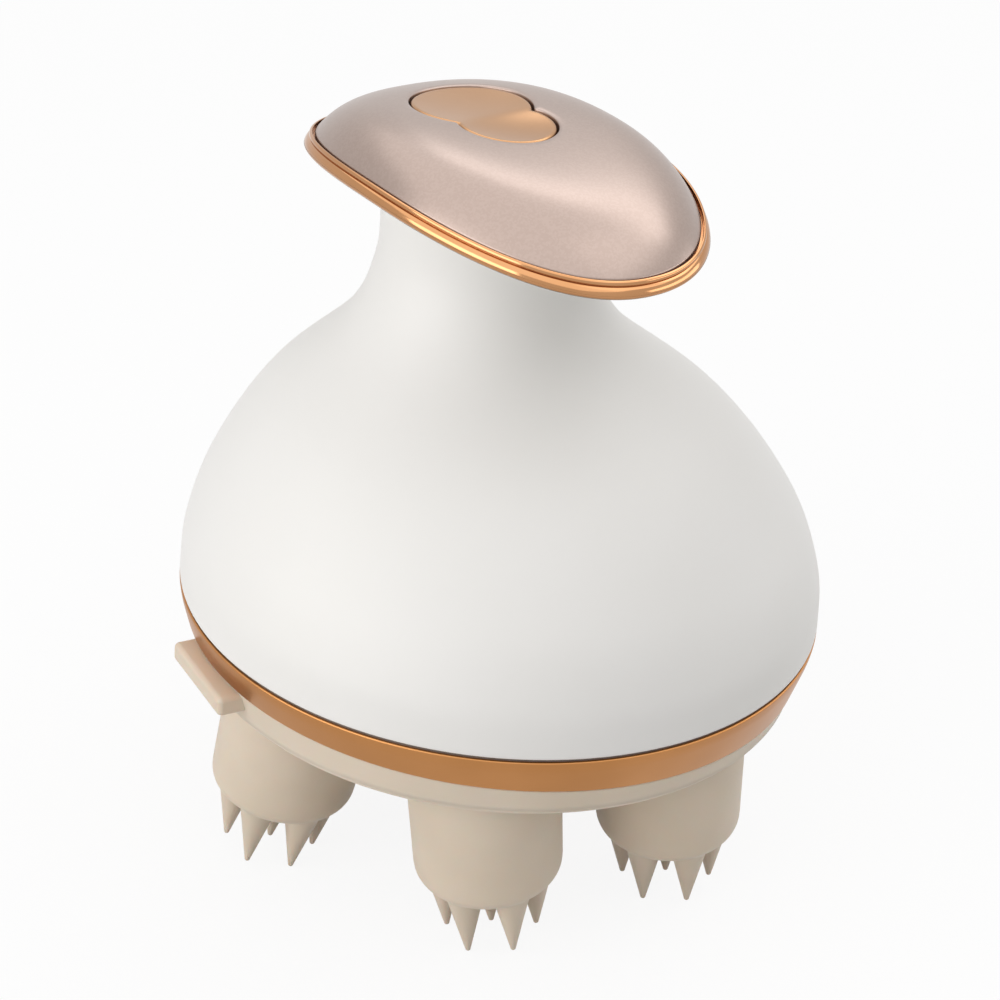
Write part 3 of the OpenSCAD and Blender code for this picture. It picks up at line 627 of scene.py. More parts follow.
@dataclass
class Base:
    """The gold band below the seam and the silicone cover that closes the underside.

    The side comes in by taper_play over shoulder_drop below the seam, and then tapers to the
    cover's rim. The band's lower edge lies in a plane that rises towards the pull tab, and the
    cover starts right below it.
    """

    # radii of the cover's rim, of its core inside the band, and of the band's bore
    rim_radius: float = 49.3
    core_radius: float = 48.2
    inner_radius: float = 47.7
    # the side: depths below the seam, the play at both ends of its taper, and the band's tilt in degrees
    shoulder_drop: float = 1.5
    taper_drop: float = 10.0
    taper_play: float = 0.2
    band_drop: float = 7.0
    band_tilt: float = 2.0
    # the cover: its joint with the band, its side's offset at both ends, its lower corner and its wall
    band_joint: float = 0.05
    cover_proud: float = 0.12
    bevel_in: float = 0.25
    bevel_height: float = 2.2
    cover_thick: float = 1.7
    floor_edge: float = 0.4
    # where the cover's rings end about the axis, and the plug that closes them
    middle_radius: float = 0.4
    plug_radius: float = 0.45
    # the pull tab
    tab_azimuth: float = 172.0
    tab_length: float = 18.0
    tab_out: float = 4.2
    tab_root: float = 1.6
    tab_thick: float = 3.2
    tab_drop: float = 1.7
    tab_rounds: tuple[float, float, float] = (0.9, 0.9, 0.75)
    tab_steps: int = 14
    # the holes for the heads
    head_ring: float = 33.75
    head_turn: float = -10.0
    drill_reach: tuple[float, float] = (-2.0, 4.0)
    # points round the axis
    columns: int = 288

    def edge_height(self, x: np.ndarray, y: np.ndarray) -> np.ndarray:
        """Height of the plane of the band's lower edge.

        Args:
            x: places across.
            y: places along.

        Returns:
            The plane's height at each place, which rises by the tangent of the tilt.
        """
        a = math.radians(self.tab_azimuth)
        rise = math.tan(math.radians(self.band_tilt)) * (x * math.cos(a) + y * math.sin(a))
        return SEAM_Z - self.band_drop + rise

    def side_radius(self, z: np.ndarray) -> np.ndarray:
        """Radius of the tapering side, a straight line from the shoulder to the rim.

        Args:
            z: heights.

        Returns:
            The radius at each height.
        """
        top_z, low_z = SEAM_Z - SEAM_GAP - self.shoulder_drop, SEAM_Z - self.taper_drop
        top, low = BODY_RADIUS - self.taper_play, self.rim_radius + self.taper_play
        return low + (z - low_z) / (top_z - low_z) * (top - low)

    def head_centre(self, k: int) -> tuple[float, float]:
        """Place of head k's axis."""
        a = math.radians(HEAD_STEP * k + self.head_turn)
        return self.head_ring * math.cos(a), self.head_ring * math.sin(a)

    def edge_line(self) -> np.ndarray:
        """Follows the band's lower edge round the tapering side.

        Returns:
            Its height at each azimuth.
        """
        a = turn(self.columns)
        mean = float(self.side_radius(np.array(SEAM_Z - self.band_drop)))
        return self.edge_height(mean * np.cos(a), mean * np.sin(a))

    def carried(self, corners: Sequence[tuple[Any, Any, float]], steps: int = 7) -> Skin:
        """Carries a section with rounded corners round the axis.

        Args:
            corners: radius, height and rounding of each corner of the section. A radius or a
                height is one number, or one for each azimuth.
            steps: points in each rounding.

        Returns:
            The ring.
        """
        a = turn(self.columns)
        outline = np.stack([np.stack([r + 0 * a, z + 0 * a], -1) for r, z, _ in corners], 1)
        outline = round_corners(outline, [rounding for _, _, rounding in corners], steps)
        r, z = outline[..., 0], outline[..., 1]
        return Skin(np.stack([r * np.cos(a)[:, None], r * np.sin(a)[:, None], z], -1).swapaxes(0, 1))

    def band(self) -> Skin:
        """The band, a ring with softened edges.

        Returns:
            Its skin: the shoulder below the seam, the taper, the lower edge and the inner wall.
        """
        low, top = self.edge_line(), SEAM_Z - SEAM_GAP
        return self.carried([
            (self.inner_radius, top, 0.1),
            (BODY_RADIUS, top, 0.35),
            (BODY_RADIUS - self.taper_play, top - self.shoulder_drop, 0.7),
            (self.side_radius(low), low, 0.3),
            (self.inner_radius, low, 0.1)])

    def cover(self) -> Skin:
        """The silicone cover, from under the band round its rim and across the underside.

        Returns:
            Its skin, which leaves out the middle_radius about the axis.
        """
        low = self.edge_line() - self.band_joint
        floor, inside = UNDERSIDE_Z, UNDERSIDE_Z + self.cover_thick
        return self.carried([
            (self.core_radius, low, 0.1),
            (self.side_radius(low) - self.cover_proud, low, 0.35),
            (self.rim_radius + self.cover_proud, floor + self.bevel_height, 1.0),
            (self.rim_radius - self.bevel_in, floor, 1.7),
            (self.middle_radius, floor, 0.01),
            (self.middle_radius, inside, 0.01),
            (self.core_radius - self.floor_edge, inside, 0.5)], 9)

    def plug(self) -> Skin:
        """The middle of the underside, where the cover's rings would meet in a point."""
        heights = (UNDERSIDE_Z, UNDERSIDE_Z + self.cover_thick)
        return Skin(lathe(np.array([[self.plug_radius, z] for z in heights]), 48), looped=False)

    def tab(self) -> Skin:
        """The pull tab, a box with rounded edges.

        Each point of a unit sphere, times the edge radius, is moved to the corner of the inner
        box that its direction names, so that flat faces open up between the rounded edges. The
        sphere's angles stay a little short of the poles and of the seams between its eighths.

        Returns:
            Its skin, turned to the tab's azimuth.
        """
        rounds = np.array(self.tab_rounds)
        inner, outer = self.rim_radius - self.tab_root, self.rim_radius + self.tab_out
        half = np.array([(outer - inner) / 2, self.tab_length / 2, self.tab_thick / 2])
        short = 0.02
        quarter = np.linspace(short, math.pi / 2 - short, self.tab_steps)
        lat = np.concatenate([quarter - math.pi / 2, quarter])[:, None]
        lon = np.concatenate([quarter + k * math.pi / 2 for k in range(4)])
        ball = np.stack([np.cos(lat) * np.cos(lon), np.cos(lat) * np.sin(lon), np.sin(lat) + 0 * lon], -1)
        box = np.sign(ball) * (half - rounds) + ball * rounds
        box += np.array([(outer + inner) / 2, 0, SEAM_Z - self.band_drop - self.tab_drop + half[2]])
        a = math.radians(self.tab_azimuth)
        spin = np.array([[math.cos(a), math.sin(a), 0], [-math.sin(a), math.cos(a), 0], [0, 0, 1]])
        return Skin(box @ spin, looped=False)

    def build(self) -> None:
        """Makes the band, the cover with its holes, and the tab on its rim."""
        put(make_piece("gold_band", [self.band()], Look.SATIN_ROSE_GOLD), "housing", "rose_gold", "base_band")
        cover = make_piece("silicone_cover_moulding", [self.cover(), self.plug()], Look.SILICONE)
        drill = lathe(np.array([[HEAD_HOLE_RADIUS, UNDERSIDE_Z + reach] for reach in self.drill_reach]), 128)
        holes = [Skin(drill + np.array([*self.head_centre(k), 0]), looped=False) for k in HEADS]
        cut(cover, holes, Look.SILICONE)
        put(cover, "housing", "silicone", "silicone_cover")
        put(make_piece("pull_tab", [self.tab()], Look.SILICONE), "housing", "silicone")


# ---------------------------------------------------------------- grip


@dataclass
class Grip:
    """The leaf-shaped grip: tray, trim, top cover and the button in the cover.

    Its outline is a superellipse, blunter behind than in front. The rim pitches forward and
    droops towards both ends, and the top cover rises over it. The tables of edges give the
    growth of an outline and the height over a face.
    """

    # half axes of the outline, its middle behind the axis, and its powers
    half_width: float = 24.0
    front: float = 34.4
    rear: float = 35.4
    back: float = 8.0
    front_blunt: float = 2.15
    rear_blunt: float = 2.38
    # the rim over the seam, its slope in degrees and its droop per square millimetre
    rim_height: float = 69.1
    pitch: float = 4.4
    droop: float = 0.0034
    # the top cover: its rise, its wall, its lip, and its edge round the button's hole
    crown: float = 6.1
    crown_flat: float = 6.7
    cover_thick: float = 1.6
    cover_joint: float = 0.12
    cover_lip: tuple[float, float] = (-0.1, -0.85)
    hole_depth: float = 2.0
    hole_round: tuple[float, float] = (1.2, 0.25)
    hole_angles: tuple[float, ...] = (0, 12, 25, 40, 55, 70, 82)
    # the button's two discs, by radius and place, and the search for their joint outline
    lobe_rear: float = 9.35
    lobe_front: float = 7.6
    lobe_rear_y: float = 18.7
    lobe_front_y: float = 9.6
    notch_soft: float = 0.25
    lobe_search: tuple[float, float] = (3.0, 20.0)
    halvings: int = 30
    # the button in its hole: gap, sink, hollows, edge and flange
    button_gap: float = 0.35
    button_sink: float = 0.2
    button_dish: float = 0.7
    dish_sharp: float = 6.0
    button_edge: tuple[tuple[float, float], ...] = (
        (0.0, -1.9), (0.0, -0.45), (-0.04, -0.3), (-0.14, -0.16), (-0.28, -0.06), (-0.45, -0.01))
    face_inset: float = 0.7
    flange_grow: float = 1.0
    flange_thick: float = 0.9
    flange_drop: float = 2.2
    # the tray below the rim: its edge, and how far its inner face lies over the outer one
    tray_drop: float = 2.95
    tray_lift: float = 1.8
    tray_thin: float = 0.4
    tray_edge: tuple[tuple[float, float], ...] = (
        (0.25, 0.02), (0.42, 0.13), (0.5, 0.32), (0.45, 0.5), (0.1, 0.55))
    # the trim: growth of the outline, height over the rim, and rounding of each corner
    trim_section: tuple[tuple[float, float, float], ...] = (
        (-1.5, -1.58, 0.1), (0.1, -2.45, 0.1), (0.75, -2.5, 0.45), (1.5, -2.15, 0.6), (1.6, -1.2, 0.6),
        (1.05, -0.62, 0.2), (0.62, -0.5, 0.08), (0.9, -0.3, 0.15), (0.8, 0.2, 0.2), (0.42, 0.24, 0.12),
        (0.36, -0.9, 0.1), (-1.5, -0.9, 0.1))
    # points round an outline, and rows across a face
    columns: int = 240
    rows: int = 40

    def outline(self, a: np.ndarray, grow: float | np.ndarray = 0.0) -> tuple[np.ndarray, np.ndarray]:
        """Places on the grip's outline.

        Each is the half axes times the cosine and the sine of its angle, both raised to the
        power of 2 over the bluntness of its half.

        Args:
            a: angles about the outline's middle.
            grow: how far the half axes are grown.

        Returns:
            The places across and along.
        """
        ahead = np.sin(a) < 0
        power = 2 / np.where(ahead, self.front_blunt, self.rear_blunt)
        length = np.where(ahead, self.front, self.rear)
        x = (self.half_width + grow) * np.sign(np.cos(a)) * np.abs(np.cos(a)) ** power
        y = self.back + (length + grow) * np.sign(np.sin(a)) * np.abs(np.sin(a)) ** power
        return x, y

    def rim(self, y: np.ndarray) -> np.ndarray:
        """Height of the rim at y."""
        return SEAM_Z + self.rim_height + math.tan(math.radians(self.pitch)) * y - self.droop * y * y

    def crown_at(self, x: np.ndarray, y: np.ndarray) -> np.ndarray:
        """Height of the cover's outer face: the rim plus a rise that is flat in the middle.

        The rise is the crown times 1 minus a power of the place's share of the way out to the
        outline.

        Args:
            x: places across.
            y: places along.

        Returns:
            The height at each place.
        """
        ahead = y < self.back
        blunt = np.where(ahead, self.front_blunt, self.rear_blunt)
        length = np.where(ahead, self.front, self.rear)
        share = ((np.abs(x) / self.half_width) ** blunt
                 + (np.abs(y - self.back) / length) ** blunt) ** (1 / blunt)
        return self.rim(y) + self.crown * (1 - np.minimum(share, 1) ** self.crown_flat)

    @property
    def button_middle(self) -> float:
        """Place along of the middle between the button's two discs."""
        return (self.lobe_rear_y + self.lobe_front_y) / 2

    def lobes(self, a: np.ndarray, grow: float) -> tuple[np.ndarray, np.ndarray]:
        """Places on the button's outline, which is that of two overlapping discs.

        The distances from the two discs are blended by a smooth minimum that just rounds the
        notches. The radius at which the blend comes to grow is found by halving the interval
        lobe_search.

        Args:
            a: angles about the button's middle.
            grow: how far outside the discs the outline lies.

        Returns:
            The places across and along.
        """
        low, high = (np.full_like(a, radius) for radius in self.lobe_search)
        for _ in range(self.halvings):
            r = (low + high) / 2
            x, y = r * np.cos(a), self.button_middle + r * np.sin(a)
            rear = np.hypot(x, y - self.lobe_rear_y) - self.lobe_rear
            front = np.hypot(x, y - self.lobe_front_y) - self.lobe_front
            h = np.clip(0.5 + 0.5 * (front - rear) / self.notch_soft, 0, 1)
            inside = front + (rear - front) * h - self.notch_soft * h * (1 - h) < grow
            low, high = np.where(inside, r, low), np.where(inside, high, r)
        return low * np.cos(a), self.button_middle + low * np.sin(a)

    def rim_row(self, grow: float | np.ndarray, lift: float | np.ndarray) -> np.ndarray:
        """Points on the outline grown by grow, at lift over the rim."""
        x, y = self.outline(turn(self.columns), grow)
        return np.stack([x, y, self.rim(y) + lift], -1)

    def lobe_row(self, grow: float, lift: float,
                 face: Callable[[np.ndarray, np.ndarray], np.ndarray]) -> np.ndarray:
        """Points on the button's outline grown by grow, at lift over a face."""
        x, y = self.lobes(turn(self.columns), grow)
        return np.stack([x, y, face(x, y) + lift], -1)

    def cover(self) -> Skin:
        """The top cover as one loop: hole wall, rounded edge, outer face, lip, and the underside.

        The edge of the button's hole is a quarter ellipse, wide across the face and shallow.
        Between the button's hole and the rim a point lies on the straight line from one outline
        to the other, and its height is that of the crown.

        Returns:
            Its skin.
        """
        wide, deep = self.hole_round
        turned = np.radians(self.hole_angles)
        hole = [(0.0, -self.hole_depth), *zip(wide * (1 - np.cos(turned)), deep * (np.sin(turned) - 1))]
        wall = [self.lobe_row(self.button_gap + grow, lift, self.crown_at) for grow, lift in hole]
        a = turn(self.columns)
        x0, y0 = self.lobes(a, self.button_gap + wide)
        t = np.cos(np.linspace(math.pi / 2, 0, self.rows))[:, None]
        x1, y1 = self.outline(a, -self.cover_joint)
        x, y = x0 + (x1 - x0) * t, y0 + (y1 - y0) * t
        face = np.stack([x, y, self.crown_at(x, y)], -1)
        lip = [self.rim_row(0.0, lift) for lift in self.cover_lip]
        x1, y1 = self.outline(a, -self.cover_thick)
        x, y = x0 + (x1 - x0) * t[::-1], y0 + (y1 - y0) * t[::-1]
        z = self.crown_at(x, y) - self.cover_thick
        z[0] = self.rim(y1) + self.cover_lip[-1]
        return Skin(np.concatenate([np.stack(wall), face, np.stack(lip), np.stack([x, y, z], -1)]))

    def dished(self, x: np.ndarray, y: np.ndarray) -> np.ndarray:
        """Height of the button's face: the crown, less its sink and a hollow in each lobe.

        A lobe's hollow is 1 minus the square of the distance from its centre over its radius.
        The two are blended by the logarithm of the sum of their powers of e, dish_sharp times
        as steep.

        Args:
            x: places across.
            y: places along.

        Returns:
            The height at each place.
        """
        rear = 1 - (x ** 2 + (y - self.lobe_rear_y) ** 2) / self.lobe_rear ** 2
        front = 1 - (x ** 2 + (y - self.lobe_front_y) ** 2) / self.lobe_front ** 2
        steep = self.dish_sharp
        hollow = np.maximum(np.logaddexp(steep * rear, steep * front) / steep, 0)
        return self.crown_at(x, y) - self.button_sink - self.button_dish * hollow

    def button(self) -> Skin:
        """The button: the flange below the cover, the wall, the rounded edge and the dished face.

        Returns:
            Its skin, whose face shrinks evenly to its middle.
        """
        low = SEAM_Z + self.rim_height + self.crown - self.cover_thick - self.flange_drop
        flange = [self.lobe_row(self.flange_grow, low + rise, lambda x, y: 0 * x)
                  for rise in (0.0, self.flange_thick)]
        edge = [self.lobe_row(grow, lift, self.dished) for grow, lift in self.button_edge]
        x0, y0 = self.lobes(turn(self.columns), -self.face_inset)
        share = np.linspace(1, 0.02, self.rows)[:, None]
        x, y = x0 * share, self.button_middle + (y0 - self.button_middle) * share
        face = np.stack([x, y, self.dished(x, y)], -1)
        return Skin(np.concatenate([np.stack(flange), np.stack(edge), face]), looped=False)

    def trim(self) -> Skin:
        """The polished trim: a lip and a bead carried round the outline.

        Returns:
            Its skin.
        """
        table = np.array(self.trim_section)
        profile = round_corners(table[:, :2], table[:, 2], 8)
        return Skin(self.rim_row(profile[:, :1], profile[:, 1:]))

    def tray_sheet(self, inset: float, lift: float) -> np.ndarray:
        """One face of the tray, from the neck's circle out to the outline.

        A point lies on the line from the circle to the outline, at the share 1 - sqrt(1 - u^2)
        of it for a height share u, so it leaves the circle upright and ends up level.

        Args:
            inset: how far inside the neck and the outline the face lies.
            lift: how far above the outer face it starts; it loses the share tray_thin of that.

        Returns:
            Array (rows, columns, 3).
        """
        a = turn(self.columns)
        u = np.linspace(0, 1, self.rows)[:, None]
        share = 1 - np.sqrt(1 - u ** 2)
        far_x, far_y = self.outline(a, -inset)
        near_x = (NECK_RADIUS - inset) * np.cos(a)
        near_y = NECK_BACK + (NECK_RADIUS - inset) * np.sin(a)
        x, y = near_x + (far_x - near_x) * share, near_y + (far_y - near_y) * share
        low = SEAM_Z + NECK_TOP
        z = low + (self.rim(y) - self.tray_drop - low) * u + lift * (1 - self.tray_thin * u)
        return np.stack([x, y, z], -1)

    def tray(self) -> Skin:
        """The grip's underside, with a rounded edge that shows as a thin pale line below the trim.

        Returns:
            Its skin: the outer face, the edge and the inner face.
        """
        edge = [self.rim_row(grow, lift - self.tray_drop) for grow, lift in self.tray_edge]
        return Skin(np.concatenate([self.tray_sheet(0, 0), np.stack(edge),
                                    self.tray_sheet(SHELL_WALL, self.tray_lift)[::-1]]), looped=False)

    def build(self) -> None:
        """Makes the tray, the trim, the cover and the button."""
        put(make_piece("grip_underside", [self.tray()], Look.WHITE_ABS), "housing", "white_abs", "grip_tray")
        put(make_piece("grip_trim", [self.trim()], Look.BRIGHT_ROSE_GOLD), "housing", "rose_gold",
            "grip_trim_ring")
        put(make_piece("grip_top_cover", [self.cover()], Look.CHAMPAGNE, 60), "housing", "champagne",
            "grip_cover")
        put(make_piece("button_face", [self.button()], Look.BUTTON_GOLD, 60), "button", "button_gold",
            "button_cap")


# ---------------------------------------------------------------- massage heads


@dataclass
class Head:
    """One massage head: a cup with seven spikes on an oblique pin, and the web round its root.

    The pin leans by tilt towards the azimuth lean and turns with its crank. The web joins the
    cover's hole, a circle about the crank's axis, to the cup's root, a circle about the pin.
    Both circles stay put on the crank, so the web rides on it and keeps both joints closed.
    """

    number: int
    centre: tuple[float, float]
    lean: float
    spike_turn: float
    # the pin: where it crosses the crank's axis, and its tilt in degrees
    pivot_z: float = UNDERSIDE_Z + 1.0
    tilt: float = 8.0
    # the cup, whose length and depths are measured down the pin from its pivot
    root_radius: float = 12.2
    end_radius: float = 11.8
    length: float = 23.4
    end_round: float = 2.8
    root_depth: float = 3.6
    wall_starts: float = 1.0
    wall_ends: float = 0.5
    cup_bulge: float = 0.7
    axis_play: float = 0.02
    # the spikes: height, ring, and how much shorter the middle one is
    spike_height: float = 11.9
    spike_ring: float = 7.2
    spike_short: float = 0.7
    # a spike's foot, the curve that leads to its cone, its tip, and its core inside the cup
    spike_foot: float = 3.5
    foot_pull: float = 0.9
    foot_step: float = 0.2
    spike_radius: float = 2.9
    cone_drop: float = 0.8
    spike_tip: float = 0.46
    core_radius: float = 1.5
    # the web: its overlap at the hole, its wall at both ends, and the pull of its curves
    web_joint: float = 0.02
    web_thick: float = 1.5
    web_draw: float = 1.4
    web_short: float = 0.8
    web_leave: float = 3.0
    web_arrive: float = 4.2
    # points round the cup and the web, and round a spike
    columns: int = 128
    spike_columns: int = 36

    def placed(self, points: np.ndarray) -> np.ndarray:
        """Moves points from the pin's frame, with its pivot at 0 and the cup along -Z, into place.

        The turn is by tilt about the horizontal axis that is square to the lean.

        Args:
            points: array (..., 3).

        Returns:
            The points in place, as an array of the same shape.
        """
        a = math.radians(self.lean)
        axis = Vector((math.sin(a), -math.cos(a), 0))
        turned = points @ np.array(Matrix.Rotation(math.radians(self.tilt), 3, axis)).T
        return turned + np.array([*self.centre, self.pivot_z])

    def profile(self) -> np.ndarray:
        """The cup's outline from its root to its axis: wall, rounded corner and flat end.

        The wall starts wall_starts above the root, inside the web, and ends wall_ends above the
        corner. It draws in from root to end by the power cup_bulge of the way down.

        Returns:
            Rows of radius and height below the pivot.
        """
        end = -self.length
        wall_z = np.linspace(self.wall_starts - self.root_depth, end + self.end_round + self.wall_ends, 14)
        way = np.clip((wall_z + self.root_depth) / (end + self.root_depth), 0, 1)
        wall_r = self.root_radius + (self.end_radius - self.root_radius) * way ** self.cup_bulge
        t = np.linspace(0, math.pi / 2, 16)
        corner_r = self.end_radius - self.end_round + self.end_round * np.cos(t)
        corner_z = end + self.end_round - self.end_round * np.sin(t)
        flat_r = np.linspace(corner_r[-1], self.axis_play, 12)[1:]
        return np.concatenate([np.stack([wall_r, wall_z], -1), np.stack([corner_r, corner_z], -1),
                               np.stack([flat_r, 0 * flat_r + end], -1)])

    def end_height(self, rho: np.ndarray) -> np.ndarray:
        """Height of the cup's end at distance rho from its axis: flat, then nearly the whole corner."""
        past = np.clip(rho - (self.end_radius - self.end_round), 0, self.end_round * 0.995)
        return -self.length + self.end_round - np.sqrt(self.end_round ** 2 - past ** 2)

    def spike(self, ring: float, azimuth: float, height: float) -> Skin:
        """A spike that grows out of the cup's end.

        Its foot is a circle laid on the end's surface. A cubic curve leads from there, along the
        surface, up to the cone's side, and the cone ends in a small ball.

        Args:
            ring: distance of its axis from the cup's.
            azimuth: where it stands in that ring, in degrees.
            height: how far its tip stands out.

        Returns:
            Its skin, which starts inside the cup.
        """
        b = math.radians(azimuth)
        middle = np.array([ring * math.cos(b), ring * math.sin(b)])
        a = turn(self.spike_columns)
        out = np.stack([np.cos(a), np.sin(a)], -1)
        tip = self.spike_tip
        low_z, tip_z = -self.length - self.cone_drop, -self.length - height + tip
        reach = np.array([self.spike_foot, self.spike_foot - self.foot_step])[:, None, None]
        foot_z, near_z = self.end_height(np.linalg.norm(middle + reach * out, axis=-1))
        start = level(middle + self.spike_foot * out, foot_z)
        leave = level(-self.foot_step * out, near_z - foot_z)
        leave *= self.foot_pull / np.linalg.norm(leave, axis=-1, keepdims=True)
        stop = level(middle + self.spike_radius * out, low_z)
        arrive = level(-(self.spike_radius - tip) / (low_z - tip_z) * out, -1.0)
        blend = hermite(start, stop, leave, arrive, np.linspace(0, 1, 10)[:, None, None])
        share = np.linspace(0, 1, 8)[1:, None, None]
        cone = stop + (level(middle + tip * out, tip_z) - stop) * share
        q = np.linspace(0, math.pi / 2, 6)[1:, None, None]
        ball = level(middle + tip * np.cos(q) * out, tip_z - tip * np.sin(q[..., 0]))
        inside = level(middle + self.core_radius * out, self.core_radius - self.length)[None]
        return Skin(np.concatenate([inside, blend, cone, ball]), looped=False)

    def cup(self) -> list[Skin]:
        """The cup, six spikes in a ring and a shorter one on the axis.

        Returns:
            Their skins, in place.
        """
        skins = [Skin(lathe(self.profile(), self.columns), looped=False)]
        skins += [self.spike(self.spike_ring, self.spike_turn + 60 * k, self.spike_height) for k in range(6)]
        skins.append(self.spike(0.0, 0.0, self.spike_height - self.spike_short))
        return [Skin(self.placed(s.points), s.looped) for s in skins]

    def web_sheet(self, raised: float, drawn_in: float, depth: float) -> np.ndarray:
        """One side of the web, from the hole's edge to the root.

        A cubic curve leaves the hole's edge flat and inwards and joins the root along the pin.

        Args:
            raised: height of its outer edge over the cover's underside.
            drawn_in: how much smaller its inner edge is than the root.
            depth: how far below the pivot it ends.

        Returns:
            Array (rows, columns, 3).
        """
        a = turn(self.columns)
        out = np.stack([np.cos(a), np.sin(a)], -1)
        start = level(np.array(self.centre) + (HEAD_HOLE_RADIUS + self.web_joint) * out, UNDERSIDE_Z + raised)
        stop = self.placed(level((self.root_radius - drawn_in) * out, -depth))
        down = self.placed(np.array([[0, 0, -1.0]])) - self.placed(np.zeros((1, 3)))
        return hermite(start, stop, level(-self.web_leave * out, 0.0), self.web_arrive * down,
                       np.linspace(0, 1, 14)[:, None, None])

    def web(self) -> Skin:
        """The silicone between the cover's hole and the cup's root, as a closed sheet.

        Its inner side repeats the outer one with the hole's edge raised and the root drawn in.

        Returns:
            Its skin.
        """
        outer = self.web_sheet(0.0, 0.0, self.root_depth)
        inner = self.web_sheet(self.web_thick, self.web_draw, self.root_depth - self.web_short)
        return Skin(np.concatenate([outer, inner[::-1]]))

    def build(self) -> None:
        """Makes the cup with its spikes, and the web on its crank."""
        k = self.number
        put(make_piece(f"massage_cup_moulding_{k}", self.cup(), Look.SILICONE, 70), f"head_{k}", "silicone",
            f"massage_cup_{k}")
        put(make_piece(f"cover_web_{k}", [self.web()], Look.SILICONE, 70), f"crank_{k}", "silicone")


@dataclass
class HeadRing:
    """The six heads, each with the azimuth that it leans to and the turn of its ring of spikes."""

    base: Base
    leans: tuple[float, ...] = (200, 60, 120, -12, 6, -70)
    turns: tuple[float, ...] = (20, 20, 27, 22, 19, 20)

    def build(self) -> None:
        """Makes the heads in the order of their numbers."""
        for k, lean, spike_turn in zip(HEADS, self.leans, self.turns):
            Head(k, self.base.head_centre(k), lean, spike_turn).build()


# ---------------------------------------------------------------- CAD nodes that stay


@dataclass(frozen=True)
class Works:
    """The finishes of the CAD nodes, which show as they are where no piece replaces them."""

    looks: tuple[tuple[Look, tuple[str, ...]], ...] = (
        (Look.GREY_RUBBER, ("seam_gasket",)),
        (Look.BLACK_RUBBER, ("button_seal", "shaft_seals")),
        (Look.ACETAL, ("base_plate", "gearbox_plate", "gearbox_posts", "centre_gear", "idler_gear",
                       "crank_gear", "head_carrier")),
        (Look.STEEL, ("tact_plunger", "grip_screws", "neck_screws", "base_screws", "gearbox_screws",
                      "centre_axle", "idler_axle", "motor_can", "motor_shaft", "crank_pin")),
        (Look.SINTERED_BRONZE, ("crank_bushes", "motor_pinion")),
        (Look.DARK_ABS, ("tact_switch", "motor_end_cap", "battery_holder", "charge_socket")),
        (Look.BOARD, ("switch_board", "main_board")),
        (Look.SHRINK_SLEEVE, ("battery_cell",)),
        (Look.RED_WIRE, ("battery_lead",)),
        (Look.DARK_WIRE, ("motor_lead", "switch_lead")),
        (Look.WHITE_ABS, ("body_shell", "grip_tray")),
        (Look.SATIN_ROSE_GOLD, ("base_band",)),
        (Look.BRIGHT_ROSE_GOLD, ("grip_trim_ring",)),
        (Look.CHAMPAGNE, ("grip_cover",)),
        (Look.BUTTON_GOLD, ("button_cap",)),
        (Look.SILICONE, ("silicone_cover", "massage_cup")))

    def dress(self) -> None:
        """Puts its finish on every CAD node, by the node's name without its number."""
        by_name = {name: look for look, names in self.looks for name in names}
        for name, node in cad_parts.items():
            material = by_name[name.rstrip("_123456")].material()
            for place in node.material_slots:
                place.material = material
            log.info("%s: %s", name, material.name)


# ---------------------------------------------------------------- studio


@dataclass(frozen=True)
class Softbox:
    """An area light that looks at the dome and isn't seen itself.

    It stands at an azimuth and elevation, in degrees, and at a distance, in mm, from a point
    aim_height over the floor. Its width is in mm, and tall is its height over its width.
    """

    name: str
    azimuth: float
    elevation: float
    distance: float
    width: float
    watts: float
    tall: float = 1.0
    aim_height: float = 60.0

    def build(self) -> None:
        """Adds the light."""
        back = toward(self.azimuth, self.elevation)
        data = bpy.data.lights.new(self.name, "AREA")
        data.shape = "RECTANGLE"
        data.size = self.width * MM
        data.size_y = self.width * self.tall * MM
        data.energy = self.watts
        lamp = bpy.data.objects.new(self.name, data)
        lamp.visible_camera = False
        lamp.location = (Vector((0, 0, self.aim_height)) + back * self.distance) * MM
        lamp.rotation_mode = "QUATERNION"
        lamp.rotation_quaternion = (-back).to_track_quat("-Z", "Y")
        bpy.context.scene.collection.objects.link(lamp)


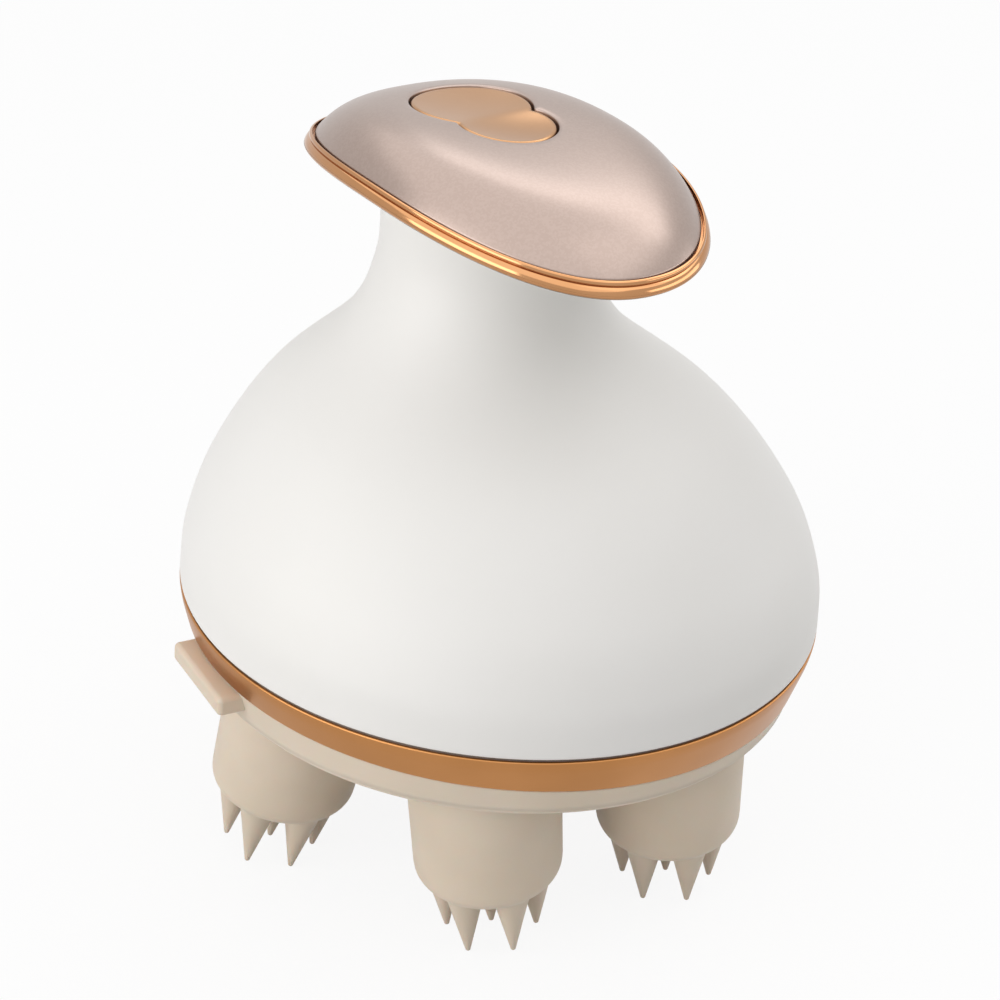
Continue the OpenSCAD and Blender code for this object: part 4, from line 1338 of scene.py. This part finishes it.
@dataclass(frozen=True)
class Studio:
    """The pale floor, the soft lights and the camera.

    The world lights the object at world_level. The floor lights it as paper of the colour
    floor_light; where it is seen, it has the colour floor_seen and the share floor_glow of
    plain white, so that the object's shadow on it stays soft.
    """

    # the camera: its direction and roll in degrees, its distance and shifts, and its lens
    azimuth: float = -40.0
    elevation: float = 29.0
    roll: float = 5.95
    distance: float = 408.3
    shift_right: float = -0.05
    shift_up: float = 12.6
    lens: float = 90.0
    sensor: float = 36.0
    clip_metres: tuple[float, float] = (0.02, 50.0)
    # the floor and the surround
    floor_size: float = 6000.0
    floor_light: str = "#D6D6D6"
    floor_seen: str = "#FAFAFA"
    floor_glow: float = 0.9
    world_level: float = 0.07
    # the lights, each with the fields of Softbox in their order
    lamps: tuple[Softbox, ...] = (
        Softbox("ceiling", -60, 83, 950, 2600, 17.0),
        Softbox("key_left", -90, 15, 900, 970, 4.6, 0.55),
        Softbox("side_right", 58, 9, 1000, 900, 1.7, 0.35),
        Softbox("back_accent", 112, 47, 1000, 1200, 1.7, 0.25),
        Softbox("front_accent", 35, 52, 1000, 600, 0.4))

    def camera(self) -> None:
        """Places the camera, which looks at the seam's middle from a little above."""
        back, right = toward(self.azimuth, self.elevation), toward(self.azimuth + 90)
        r = math.radians(self.roll)
        up = back.cross(right)
        right, up = math.cos(r) * right + math.sin(r) * up, -math.sin(r) * right + math.cos(r) * up
        eye = Vector((0, 0, SEAM_Z)) + self.distance * back + self.shift_right * right + self.shift_up * up
        data = bpy.data.cameras.new("studio_camera")
        data.lens = self.lens
        data.sensor_width = self.sensor
        data.clip_start, data.clip_end = self.clip_metres
        camera = bpy.data.objects.new("studio_camera", data)
        camera.matrix_world = Matrix.Translation(eye * MM) @ Matrix((right, up, back)).transposed().to_4x4()
        bpy.context.scene.collection.objects.link(camera)
        bpy.context.scene.camera = camera

    def seen(self, tree: Tree) -> Socket:
        """Tells the rays that see a surface from those that light the object by it.

        Args:
            tree: the node tree.

        Returns:
            Value of 1 for rays from the camera, a mirror or glass, and of 0 for the others.
        """
        path = add(tree, "ShaderNodeLightPath").outputs
        two = add(tree, "ShaderNodeMath", {0: path["Is Camera Ray"], 1: path["Is Glossy Ray"]},
                  operation="MAXIMUM")
        return add(tree, "ShaderNodeMath", {0: two.outputs[0], 1: path["Is Transmission Ray"]},
                   operation="MAXIMUM").outputs[0]

    def world(self) -> None:
        """Makes an even white surround, seen at full white."""
        world = bpy.data.worlds.new("studio_world")
        world.use_nodes = True
        tree = world.node_tree
        tree.nodes.clear()
        level_of_light = add(tree, "ShaderNodeMapRange", {
            "Value": self.seen(tree), "To Min": self.world_level, "To Max": 1.0})
        light = add(tree, "ShaderNodeBackground", {
            "Color": linear("#FFFFFF"), "Strength": level_of_light.outputs[0]})
        add(tree, "ShaderNodeOutputWorld", {"Surface": light.outputs[0]})
        bpy.context.scene.world = world

    def floor_material(self) -> bpy.types.Material:
        """Makes the floor's paper.

        Returns:
            A diffuse material with a share of plain white where it is seen.
        """
        material = bpy.data.materials.new("floor_paper")
        material.use_nodes = True
        tree = material.node_tree
        tree.nodes.clear()
        seen = self.seen(tree)
        shade = add(tree, "ShaderNodeMix", {0: seen, 6: linear(self.floor_light), 7: linear(self.floor_seen)},
                    data_type="RGBA")
        paper = add(tree, "ShaderNodeBsdfDiffuse", {"Color": shade.outputs[2]})
        glow = add(tree, "ShaderNodeEmission", {"Color": linear("#FFFFFF"), "Strength": 1.0})
        share = add(tree, "ShaderNodeMath", {0: seen, 1: self.floor_glow}, operation="MULTIPLY")
        mixed = add(tree, "ShaderNodeMixShader", {
            0: share.outputs[0], 1: paper.outputs[0], 2: glow.outputs[0]})
        add(tree, "ShaderNodeOutputMaterial", {"Surface": mixed.outputs[0]})
        return material

    def floor(self) -> None:
        """Makes the floor, which takes the object's shadow and is seen nearly white."""
        half = self.floor_size / 2 * MM
        square = [(-half, -half, 0), (half, -half, 0), (half, half, 0), (-half, half, 0)]
        mesh = bpy.data.meshes.new("studio_floor")
        mesh.from_pydata(square, [], [(0, 1, 2, 3)])
        mesh.materials.append(self.floor_material())
        floor = bpy.data.objects.new("studio_floor", mesh)
        bpy.context.scene.collection.objects.link(floor)

    def build(self) -> None:
        """Makes the camera, the surround, the floor and the soft lights."""
        bpy.context.scene.view_settings.view_transform = "Standard"
        self.camera()
        self.world()
        self.floor()
        for lamp in self.lamps:
            lamp.build()


def main() -> None:
    """Builds the sub-assemblies in order."""
    Studio().build()
    Dome().build()
    base = Base()
    base.build()
    Grip().build()
    HeadRing(base).build()
    Works().dress()


if __name__ == "__main__":
    logging.basicConfig(level=logging.INFO)
    main()
